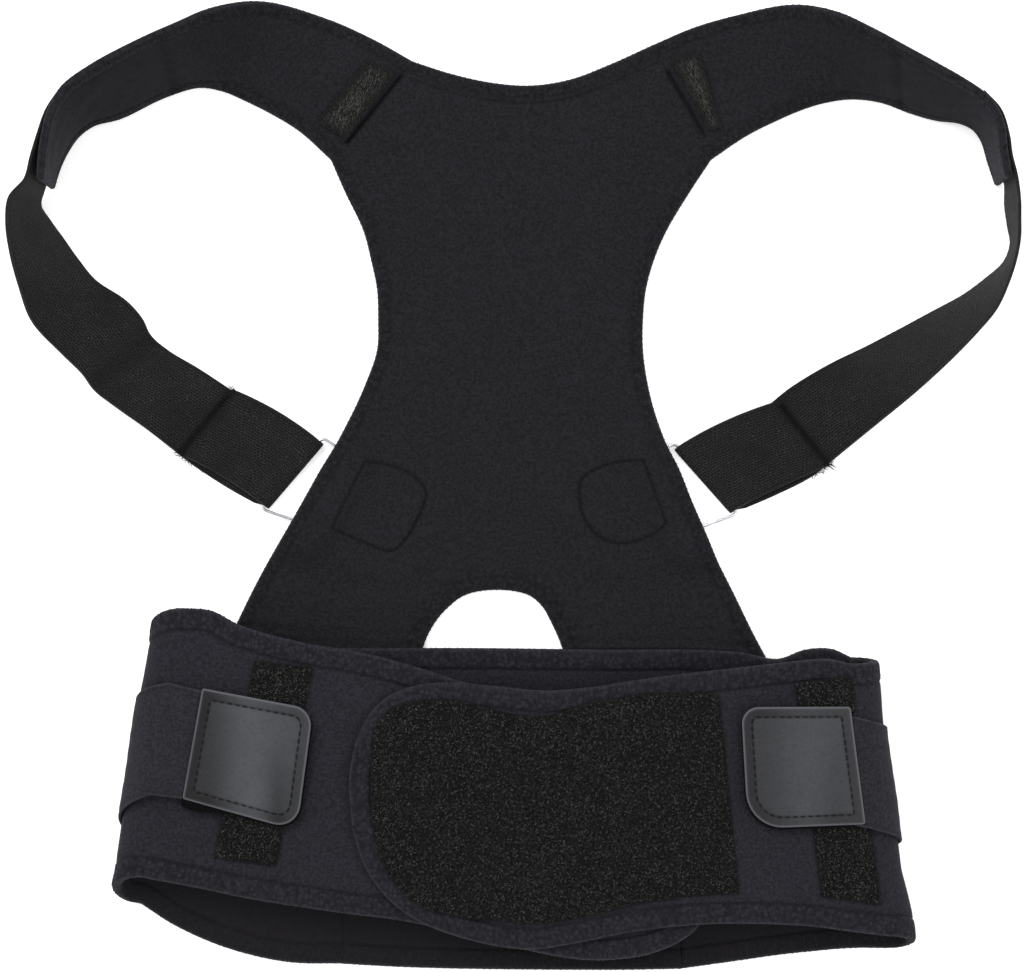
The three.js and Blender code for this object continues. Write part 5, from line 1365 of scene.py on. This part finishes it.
patches = {
    "closure_patch": on_wing("right", CLOSURE, PILE_LIFT, PILE_T),
    "wing_patch_left": strip_patch("left", [(-121.4, -82.4), (-94.2, -85.6)], [(-140.6, -175.5), (-111.4, -179.3)]),
    "wing_patch_right": strip_patch("right", [(133.2, -92.4), (160.0, -89.6)], [(145.8, -193.6), (174.0, -197.6)]),
}
felts, loops = {}, {}
for name, strip in patches.items():
    big = name == "closure_patch"
    step = 2.0 if big else 1.4
    felts[name] = strip_piece(f"{name}_felt", strip, PILE, step, 48 if big else 20, RIM[:4] + [1.2], RIM[:4] + [1.2], RIM[:4] + [1.2], RIM[:4] + [1.2], relief=felt_relief)
    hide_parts(name)
    loops[name] = pile_loops(f"{name}_loops", strip, 1.44 if big else 1.15, LOOP, wide=(0.5, 1.2), radius=0.25, points=4)

# velvety patches beside the slits of the shoulder straps
VELVET_AT = dict(
    left=[dict(x=-69.4, y=203.6), dict(x=-55.2, y=198.4), dict(x=-79.4, y=166.0), dict(x=-93.4, y=174.0)],
    right=[dict(x=89.6, y=207.8), dict(x=76.6, y=203.0), dict(x=94.0, y=170.2), dict(x=100.4, y=171.6)],
)
for side in SIDES:
    c = [vec(p["x"], p["y"]) for p in VELVET_AT[side]]
    z = SHOULDER_T + GAP + VELVET_T / 2
    pairs = [tuple(np.append(mix(p, q, t), z) for p, q in ((c[0], c[3]), (c[1], c[2]))) for t in np.linspace(0, 1, 4)]
    strip = strip_of(pairs, VELVET_T, 10, outer=lambda p: vec(0, 0, 1))
    felt = strip_piece(f"shoulder_patch_felt_{side}", strip, VELVET, 0.8, 16, RIM[:4], RIM[:4], RIM[:4], RIM[:4], relief=felt_relief)
    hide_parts(f"shoulder_patch_{side}")
    P, N = scatter_on(strip, 0.58, 0.1, -0.12)
    m = len(P)
    along = unit(vec(*(c[3] - c[0]), 0))
    cross = vec(-along[1], along[0], 0)
    d = unit(along + cross * rng.normal(0.5 if side == "left" else 0.12, 0.55 if side == "left" else 0.28, (m, 1)))
    long = rng.uniform(1.2, 3.2, m) * (1.0 if side == "left" else 1.4)
    t = np.linspace(0, 1, 4)[None, :, None]
    C = P[:, None] + d[:, None] * (t - 0.5) * long[:, None, None] + N[:, None] * (0.45 * np.sin(t * math.pi) * rng.uniform(0.6, 1.6, m)[:, None, None])
    # the nap is darker towards the border of the patch
    far = np.min([seg_far(P[:, 0], P[:, 1], c[k], c[(k + 1) % 4]) for k in range(4)], axis=0)
    fade = 0.30 + 0.80 * smooth(0.4, 5.0, far)
    fibres = tubes(f"velvet_fibres_{side}", C, np.broadcast_to(N[:, None], C.shape), np.array([0.04, 0.11, 0.11, 0.03]), FIBRE, sides=3, fade=fade)
    felts[f"shoulder_patch_{side}"], loops[f"shoulder_patch_{side}"] = felt, fibres

# ---------------------------------------------------------------- side bands and their tabs
# Corners of the leatherette tabs, with how far from the corner its rounding starts.
TAB_CORNERS = dict(
    left=[dict(x=-145.7, y=-95.0, cut=1.0), dict(x=-93.5, y=-105.0, cut=9.0), dict(x=-101.1, y=-162.2, cut=12.0), dict(x=-155.1, y=-147.1, cut=1.2)],
    right=[dict(x=107.4, y=-103.7, cut=8.5), dict(x=159.1, y=-103.7, cut=1.2), dict(x=166.3, y=-159.1, cut=1.4), dict(x=110.7, y=-160.9, cut=17.0)],
)
TAB_SEAM = 4.8


def rounded(corners, step=0.8):
    """A closed outline through rounded corners."""
    C, path = [vec(c["x"], c["y"]) for c in corners], []
    for k, c in enumerate(C):
        cut = corners[k]["cut"]
        start, end = c + unit(C[k - 1] - c) * cut, c + unit(C[(k + 1) % len(C)] - c) * cut
        t = np.linspace(0, 1, 14)[:, None]
        # fuller than a plain quadratic, closer to a true arc
        a, b = mix(start, c, 0.56), mix(end, c, 0.56)
        path.append((1 - t) ** 3 * start + 3 * t * (1 - t) ** 2 * a + 3 * t * t * (1 - t) * b + t**3 * end)
    path = np.concatenate(path + [path[0][:1]])
    return respace(path, step)[:-1]


def offset_loop(loop, d):
    """The closed line that runs at distance d inside a closed outline."""
    run = unit(np.roll(loop, -1, 0) - np.roll(loop, 1, 0))
    normal = np.stack([-run[:, 1], run[:, 0]], 1)
    if not inside((loop + normal * 0.4)[:1], loop)[0]:
        normal = -normal
    p = loop + normal * d
    far, _ = distance_to(p, np.concatenate([loop, loop[:1]]))
    p = p[(far > d - 0.06) & inside(p, loop)]
    return np.concatenate([p, p[:1]])


tab_shapes, tab_heights = {}, {}
bands, band_strips, band_tabs, tab_strips, backings_and_shadows = {}, {}, {}, {}, {}
for side in SIDES:
    strip, band, (s1, s2) = wing_strips[side], BAND[side], fold_spans[side]
    rear_x = [r["topX"] for r in WING_REAR[side]]
    pairs = []

    def pick(s, shares, out):
        p = strip.mid(s, np.array(shares))
        if out:
            p = p + strip.normal(s, np.array(shares)) * out
        return [p[0], p[1]]

    rear_rows = [edge_pair(r) for r in WING_REAR[side]]
    first = [mix(rear_rows[0][0], rear_rows[0][1], v) for v in band["rear"]]
    for p in first:
        p[0] = band["rearX"]
    pairs.append(first)
    for k, (a, b) in enumerate(rear_rows):
        pairs.append([mix(a, b, mix(r, g, k / 4)) for r, g in zip(band["rear"], band["fold"])])
    for pair in pairs:
        for p in pair:
            p[2] = BAND_T / 2
    A, B = catmull([p[0] for p in pairs], 10), catmull([p[1] for p in pairs], 10)
    over = PILE_LIFT + PILE_T / 2 + GAP + BAND_T / 2 + 0.1
    turn = []
    for t in np.linspace(0, 1, 33):
        shares = [mix(g, h, t * t) for g, h in zip(band["fold"], band["front"])]
        turn.append(pick(mix(s1, s2, t), shares, mix(BAND_OUT, over, float(smooth(0.4, 0.9, t)))))
        # on the left the lower edge stands off the wing as it comes over the fold
        turn[-1][1][2] += (2.4 if side == "left" else 0.8) * float(smooth(0.72, 1, t))
    tail = []
    for t in np.linspace(0.05, 1, 20):
        a, b = mix(turn[-1][0], band["endTop"], t), mix(turn[-1][1], band["endLow"], t)
        a[2], b[2] = wing_z(side, a[0]) + over, wing_z(side, b[0]) + over
        b[2] += (2.4 if side == "left" else 0.8) * (1 - float(smooth(0.05, 0.4, t)))
        tail.append((a, b))
    A = np.concatenate([A, [p[0] for p in turn + tail]])
    B = np.concatenate([B, [p[1] for p in turn + tail]])
    away = -1 if side == "left" else 1
    bs = Strip(A, B, BAND_T, outer=lambda p: vec(away, 0, 0) * ((p[..., 2:] > 8) & (p[..., 2:] < 19)))
    band_strips[side] = bs

    def relief(f, bs=bs):
        edge, P = f["edge"], f["P"]
        fold = bell(P[..., 2] - 20, 9)
        ribs = 0.12 * np.sin(f["v"] * f["w"] * 2 * math.pi / 8.5 + 0.8 * np.sin(f["s"] * 0.05)) * smooth(1, 4, edge)
        top = ribs * fold * 0.6 + 0.20 * waves(P, 24, 21) * smooth(1, 5, edge) - 0.12 * bell(edge - 1.8, 0.5)
        return top, -0.1 * bell(edge - 1.8, 0.5), dict(band=0 * edge, groove=0.25 * bell(edge - 1.8, 0.5), rim=bell(edge - 0.4, 0.5))

    near = RIM[:4] + [1.2, 1.8, 2.5]
    piece = strip_piece(f"side_band_cloth_{side}", bs, BAND_CLOTH, 1.6, 34, near, near, RIM[:4] + [1.2], RIM[:4] + [1.2], relief=relief)
    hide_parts(f"side_band_{side}")
    bands[side] = piece

    ts = on_wing(side, BAND_TAB[side], TAB_LIFT, LEATHER_T)
    tab_strips[side] = ts
    shape = rounded(TAB_CORNERS[side])
    tab_shapes[side] = shape
    ring = np.concatenate([shape, shape[:1]])
    middle = shape.mean(0)

    def under_tab(x, y, side=side, middle=middle):
        """The tab follows the wing and bulges a little over the end of the band."""
        t = (x - middle[0]) / 30.0
        return wing_z(side, x) + TAB_LIFT - LEATHER_T / 2 + 0.5 * np.maximum(0, 1 - t * t) - 0.1

    tab_heights[side] = under_tab

    # painted light and shade of each tab: where its lit ridge runs, how strongly it darkens away from it, a darkening
    # of the whole tab, and the depth of a darker streak beside the ridge
    ridge, strength, base = (-122.5, 0.80, 0.13) if side == "left" else (139.0, 0.40, 0.33)
    valley = 0.34 if side == "left" else 0.10

    def relief(xy, ring=ring, ridge=ridge, strength=strength, base=base):
        edge, _ = distance_to(xy, ring)
        W = TAB_SEAM
        top = 0.34 * smooth(0, 5, edge - W) - 0.38 * bell(edge - W, 0.5) + 0.14 * bell(edge - 2.4, 1.4) + (0.16 * waves(xy, 20, 31) + 0.07 * waves(xy, 6.5, 33)) * smooth(1, 6, edge)
        # painted light and shade: the tab is lightest along the ridge of its bend and darker away from it, with a
        # darker painted streak low down beside the ridge, and darker again between the stitches and the edge
        off = xy[:, 0] - ridge
        low = smooth(-110, -155, xy[:, 1])
        painted_light = np.where(off < 0, 1 - 0.85 * smooth(0, 24, -off), 1 - mix(0.3, 0.45, low) * smooth(0, mix(22, 15, low), off))
        painted_light = painted_light - valley * low * bell(off - 11.5, 5)
        shade = base + np.clip(1 - painted_light, 0, 1) * strength + 0.22 * (1 - smooth(W - 0.8, W, edge))
        return edge, top, dict(groove=0.8 * bell(edge - W, 0.55), rim=bell(edge - 0.35, 0.5), band=0 * edge, shade=np.clip(shade, 0, 1))

    near = RIM[1:] + [2.2, 3.4, 4.0, 4.4, 4.8, 5.2, 5.7, 6.6]
    piece = flat_piece(f"leather_tab_{side}", shape, near, 1.6, LEATHER, under_tab, LEATHER_T, relief)
    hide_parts(f"band_tab_{side}")
    band_tabs[side] = piece

    # the hook layer sewn behind the tab, just peeping out at its far and lower edges; on the left it is widened at the
    # lower corner into a dark sheet that stands in for the shadow under the tab
    hook_and_shadow = shape + vec(0.7 if side == "left" else -0.5, -1.2)
    if side == "left":
        hook_and_shadow = hook_and_shadow + vec(-2.0, -2.9) * (smooth(-138, -147, hook_and_shadow[:, 1]) * bell(hook_and_shadow[:, 0] + 149, 12))[:, None]
    hook_and_shadow_ring = np.concatenate([hook_and_shadow, hook_and_shadow[:1]])
    plain_edge = lambda xy, r=hook_and_shadow_ring: (distance_to(xy, r)[0], 0.0 * xy[:, 0], dict(rim=0 * xy[:, 0], band=0 * xy[:, 0], groove=0 * xy[:, 0]))
    backings_and_shadows[side] = flat_piece(f"hook_layer_and_shadow_{side}", hook_and_shadow, RIM[1:4], 3.0, HOOK_AND_SHADOW, lambda x, y, h=under_tab: h(x, y) - 0.75, 0.7, plain_edge)

# ---------------------------------------------------------------- threads
def strip_path(strip, s, v, lift=0.0, side=1, soft=None):
    """A path on a strip through the given lengths and width shares. soft: the cloth's undulation there."""
    P, _ = strip.on(np.asarray(s, float), np.asarray(v, float), lift, side)
    total = length_along(P)

    def at(t):
        ss, vv = np.interp(t, total, s), np.interp(t, total, v)
        return strip.on(ss, vv, lift if soft is None else lift + side * soft(strip.mid(ss, vv)), side)

    return total[-1], at


def edge_line(strip, which, d, s0, s1, n=200):
    s = np.linspace(s0, s1, n)
    w = strip.width(s)
    v = np.clip(d / w, 0, 0.5) if which == "a" else 1 - np.clip(d / w, 0, 0.5)
    return s, v


def whip(strip, which, s0, s1, W, pitch, slant, radius, lift=0.12, both=True, wobble=0.35, soft=None):
    """Threads that cross the bound edge, from one face over the rim to the other."""
    s = np.arange(s0, s1, pitch)
    s = s + rng.normal(0, 0.22 * pitch, len(s))
    share = np.array([1.0, 0.8, 0.6, 0.4, 0.2, 0.06])
    w = strip.width(s)
    width = W * (1 + rng.normal(0, 0.12, len(s)))
    sway = rng.normal(0, 2.2, len(s))
    C, N = [], []

    def row(q, side):
        d = width * q
        v = np.minimum(d / w, 0.48)
        v = v if which == "a" else 1 - v
        ss = np.clip(s + side * slant * (q - 0.5) + wobble * (0.5 * np.sin(q * 9) + sway * (q - 0.3)), 0, strip.length)
        # the sheet thins towards its rounded rim
        r = min(strip.T / 2, 1.4)
        h = np.sqrt(np.maximum(0, 1 - (1 - np.clip(d / r, 0, 1)) ** 2))
        up = (h - 1) * strip.T / 2 + lift + 0.25 * smooth(0.5, 1.8, d)
        up = np.where(q > 0.95, -0.25, up)
        if soft is not None:
            up = up + side * soft(strip.mid(ss, v), d)
        P, n = strip.on(ss, v, up, side)
        return P, n

    for q in share:
        P, n = row(q, 1)
        C.append(P), N.append(n)
    mid = strip.mid(np.clip(s, 0, strip.length), np.full(len(s), 0.0 if which == "a" else 1.0))
    other = strip.mid(np.clip(s, 0, strip.length), np.full(len(s), 0.1 if which == "a" else 0.9))
    outward = unit(mid - other)
    C.append(mid + outward * (lift + 0.05)), N.append(outward)
    if both:
        for q in share[::-1]:
            P, n = row(q, -1)
            C.append(P), N.append(n)
    C, N = np.stack(C, 1), np.stack(N, 1)
    R = np.full(C.shape[1], radius)
    R[0] = R[-1] = radius * 0.6
    return C, N, R


def gather(name, sets, look, sides=4):
    """Joins several sets of threads into one piece."""
    objs = [tubes(f"{name}_{k}", C, N, R, look, sides) for k, (C, N, R) in enumerate(sets)]
    if len(objs) > 1:
        with bpy.context.temp_override(active_object=objs[0], selected_editable_objects=objs, selected_objects=objs, object=objs[0]):
            bpy.ops.object.join()
    objs[0].name = name
    return objs[0]


def seam(path, look_radius=0.2, **more):
    C, N = stitches(path, **more)
    return C, N, np.array([0.6, 1, 1, 1, 0.6]) * look_radius


extras = {}
# belt: overlocked edges all round, a stitch line along the inner side of each band
for side in SIDES:
    strip = wing_strips[side]
    L = strip.length
    tip = L - (34 if side == "right" else 24)
    sets = []
    for which in "ab":
        sets.append(whip(strip, which, 1.5, tip, 8.6, 3.1, 1.6, 0.30, lift=-0.04, soft=belt_soft))
    extras[f"belt_overlock_{side}"] = gather(f"belt_overlock_{side}", sets, OVERLOCK, 3)
    sets = []
    for which in "ab":
        for face in (1, -1):
            s, v = edge_line(strip, which, BELT_BAND, 1.5, tip)
            sets.append(seam(strip_path(strip, s, v, -0.45, face, lambda P: belt_soft(P, BELT_BAND)), 0.26, long=2.6, gap=0.8))
    extras[f"belt_stitching_{side}"] = gather(f"belt_stitching_{side}", sets, THREAD)
sets = [whip(rear_strip, which, 2, rear_strip.length - 2, 8.6, 3.1, 1.6, 0.30, lift=-0.04, soft=lambda P, d: belt_soft(P, d, 5)) for which in "ab"]
extras["belt_overlock_rear"] = gather("belt_overlock_rear", sets, OVERLOCK, 3)
sets = []
for which in "ab":
    for face in (1, -1):
        s, v = edge_line(rear_strip, which, BELT_BAND, 1.5, rear_strip.length - 1.5)
        sets.append(seam(strip_path(rear_strip, s, v, -0.45, face, lambda P: belt_soft(P, BELT_BAND, 5)), 0.26, long=2.6, gap=0.8))
extras["belt_stitching_rear"] = gather("belt_stitching_rear", sets, THREAD)

# shoulder straps
for side in SIDES:
    strip = shoulder_strips[side]
    sets = [whip(strip, which, 1.0, strip.length - 2, 5.4, 2.6, 1.0, 0.22, lift=-0.04) for which in "ab"]
    extras[f"shoulder_overlock_{side}"] = gather(f"shoulder_overlock_{side}", sets, OVERLOCK, 3)
    sets = []
    for which in "ab":
        s, v = edge_line(strip, which, PANEL_BAND, 1.0, strip.length - 2)
        sets.append(seam(strip_path(strip, s, v, -0.3, 1, lambda P: shoulder_soft(P, PANEL_BAND)), 0.2))
    extras[f"shoulder_stitching_{side}"] = gather(f"shoulder_stitching_{side}", sets, THREAD)


# panel: overlocked neck, armholes and arch; sewn outlines round the ring tabs
def panel_whip(line, W, pitch, slant, radius, lift=0.12):
    """Threads over the edge of the panel. line runs with the cloth on its left."""
    p = respace(line, pitch)
    run = unit(np.gradient(p, axis=0))
    inward = np.stack([-run[:, 1], run[:, 0]], 1)
    m = len(p)
    width = W * (1 + rng.normal(0, 0.06, m))
    C, N = [], []
    for face in (1, -1):
        rows = []
        for q in np.array([1.0, 0.8, 0.6, 0.4, 0.2, 0.06]):
            d = width * q
            xy = p + inward * d[:, None] + run * (face * slant * (q - 0.5) + 0.18 * np.sin(q * 9))
            r = 1.4
            h = np.sqrt(np.maximum(0, 1 - (1 - np.clip(d / r, 0, 1)) ** 2)) * PANEL_T / 2
            mid = under_panel(xy[:, 0], xy[:, 1]) + PANEL_T / 2
            up = h + (lift + 0.16 * smooth(0.5, 1.8, d) + panel_soft(xy, d) if face == 1 else 0.2 * (lift + 0.25 * smooth(0.5, 1.8, d)))
            up = np.where(q > 0.95, up - 0.35, up)
            rows.append((np.column_stack([xy, mid + face * up]), np.tile(vec(0, 0, face), (m, 1))))
        if face == 1:
            C += [r[0] for r in rows]
            N += [r[1] for r in rows]
            xy = p - inward * (lift + 0.05)
            C.append(np.column_stack([xy, under_panel(p[:, 0], p[:, 1]) + PANEL_T / 2]))
            N.append(np.column_stack([-inward, np.zeros(m)]))
        else:
            C += [r[0] for r in rows[::-1]]
            N += [r[1] for r in rows[::-1]]
    R = np.full(len(C), radius)
    R[0] = R[-1] = radius * 0.6
    return np.stack(C, 1), np.stack(N, 1), R


def cloth_left(line):
    """Turns a line so that the panel lies on its left."""
    p = respace(line, 4.0)
    k = len(p) // 2
    run = p[k + 1] - p[k]
    test = p[k] + unit(vec(-run[1], run[0])) * 1.0
    return line if inside(test[None], outline)[0] else line[::-1]


sets, lines = [], []
for line in free_edges:
    line = cloth_left(line)
    sets.append(panel_whip(line, 5.4, 2.6, 1.0, 0.24, lift=0.02))
    lines.append(seam(panel_path(shifted(line, PANEL_BAND), -0.32), 0.2))
extras["panel_overlock"] = gather("panel_overlock", sets, OVERLOCK, 3)
lines.append(seam(panel_path(shifted(cloth_left(neck), 8.4), -0.1), 0.2))
extras["panel_stitching"] = gather("panel_stitching", lines, THREAD)
sets = [seam(panel_path(d_paths[side], -0.42), 0.26, long=2.6, gap=0.7, lift=0.2) for side in SIDES]
extras["ring_tab_stitching"] = gather("ring_tab_stitching", sets, BLACK_THREAD)


# leatherette tabs: a line of stitches all round
def height_path(line, height):
    s = length_along(line)

    def at(t):
        xy = np.stack([np.interp(t.ravel(), s, line[:, k]) for k in (0, 1)], 1)
        P = np.column_stack([xy, height(xy[:, 0], xy[:, 1])]).reshape(*t.shape, 3)
        return P, np.broadcast_to(vec(0, 0, 1), P.shape)

    return s[-1], at


for side in SIDES:
    line = offset_loop(tab_shapes[side], TAB_SEAM)
    top = lambda x, y, h=tab_heights[side]: h(x, y) + LEATHER_T - 0.18
    sets = [seam(height_path(line, top), 0.26, long=2.7, gap=0.9, lift=0.18)]
    extras[f"tab_stitching_{side}"] = gather(f"tab_stitching_{side}", sets, BLACK_THREAD)

# ---------------------------------------------------------------- frayed ends of the webbing
for side in SIDES:
    web = elastic_strips[side]
    C = []
    v = np.concatenate([rng.uniform(0.0, 1.0, 100), rng.uniform(0.0, 0.05, 16), rng.uniform(0.95, 1.0, 24)])
    P, N = web.on(np.full(len(v), web.length - 0.3), v, -0.5)
    Q, _ = web.on(np.full(len(v), web.length - 1.5), v, -0.5)
    out = unit(P - Q)
    # loose ends also stick out of the lower selvage near the cut
    s = web.length - rng.uniform(0.5, 15, 40)
    P2, N2 = web.on(s, np.full(len(s), 0.985), -0.5)
    Q2, _ = web.on(s, np.full(len(s), 0.93), -0.5)
    P, N, out = np.concatenate([P, P2]), np.concatenate([N, N2]), np.concatenate([out, unit(P2 - Q2)])
    v = np.concatenate([v, np.full(len(s), 0.97)])
    across = unit(np.cross(N, out))
    corner = np.where(v > 0.94, 2.6, np.where(v < 0.06, 2.3, 0.4))
    corner[len(corner) - len(s):] = 1.9
    long = rng.uniform(0.6, 1.9, len(v)) * corner
    bend = rng.normal(0, 0.7, len(v))
    t = np.linspace(0, 1, 5)[None, :, None]
    C = P[:, None] + out[:, None] * t * long[:, None, None] + across[:, None] * (t**2 * (bend * long)[:, None, None]) + N[:, None] * (t * (1 - t) * rng.uniform(-0.6, 0.9, len(v))[:, None, None])
    frays = tubes(f"webbing_frays_{side}", C, np.broadcast_to(N[:, None], C.shape), np.array([0.19, 0.18, 0.16, 0.13, 0.07]), OVERLOCK, sides=3)
    extras[f"webbing_frays_{side}"] = frays

# ---------------------------------------------------------------- the size and hold of each piece of cloth, passed to declare(), which does nothing with them
def declare(obj, width, length, held, rests_on=(), with_pieces=(), slot=None):
    list(rests_on)
    list(with_pieces)


declare(panel, 0.275, 0.300, "laid", with_pieces=[extras["panel_overlock"], extras["panel_stitching"], extras["ring_tab_stitching"]])
declare(belt_rear, 0.154, 0.163, "laid", rests_on=[panel], with_pieces=[extras["belt_overlock_rear"], extras["belt_stitching_rear"]])
for side in SIDES:
    sh, we, wi, bn, tb, rt = (d[side] for d in (shoulder_strips, elastic_strips, wing_strips, band_strips, tab_strips, {s: ring_tabs[s][1] for s in SIDES}))
    size = lambda st: (round(float(st.width(st.s).max()) * 1e-3, 3), round(float(st.length) * 1e-3, 3))
    declare(shoulders[side], *size(sh), "laid", with_pieces=[extras[f"shoulder_overlock_{side}"], extras[f"shoulder_stitching_{side}"]])
    declare(elastics[side], *size(we), "folded", rests_on=[rings[side]], with_pieces=[extras[f"webbing_frays_{side}"]])
    declare(ring_tabs[side][0], *size(rt), "folded", rests_on=[rings[side]])
    declare(wings[side], *size(wi), "folded", with_pieces=[extras[f"belt_overlock_{side}"], extras[f"belt_stitching_{side}"]])
    declare(bands[side], *size(bn), "stretched", rests_on=[wings[side]])
    declare(band_tabs[side], *size(tb), "laid", rests_on=[bands[side]], with_pieces=[extras[f"tab_stitching_{side}"]])
    declare(backings_and_shadows[side], *size(tb), "laid", rests_on=[bands[side]])
for name, strip in patches.items():
    declare(felts[name], *size(strip), "laid", rests_on=[wings["left" if name == "wing_patch_left" else "right"]], with_pieces=[loops[name]])
for side in SIDES:
    name = f"shoulder_patch_{side}"
    declare(felts[name], 0.018, 0.046, "laid", rests_on=[shoulders[side]], with_pieces=[loops[name]])
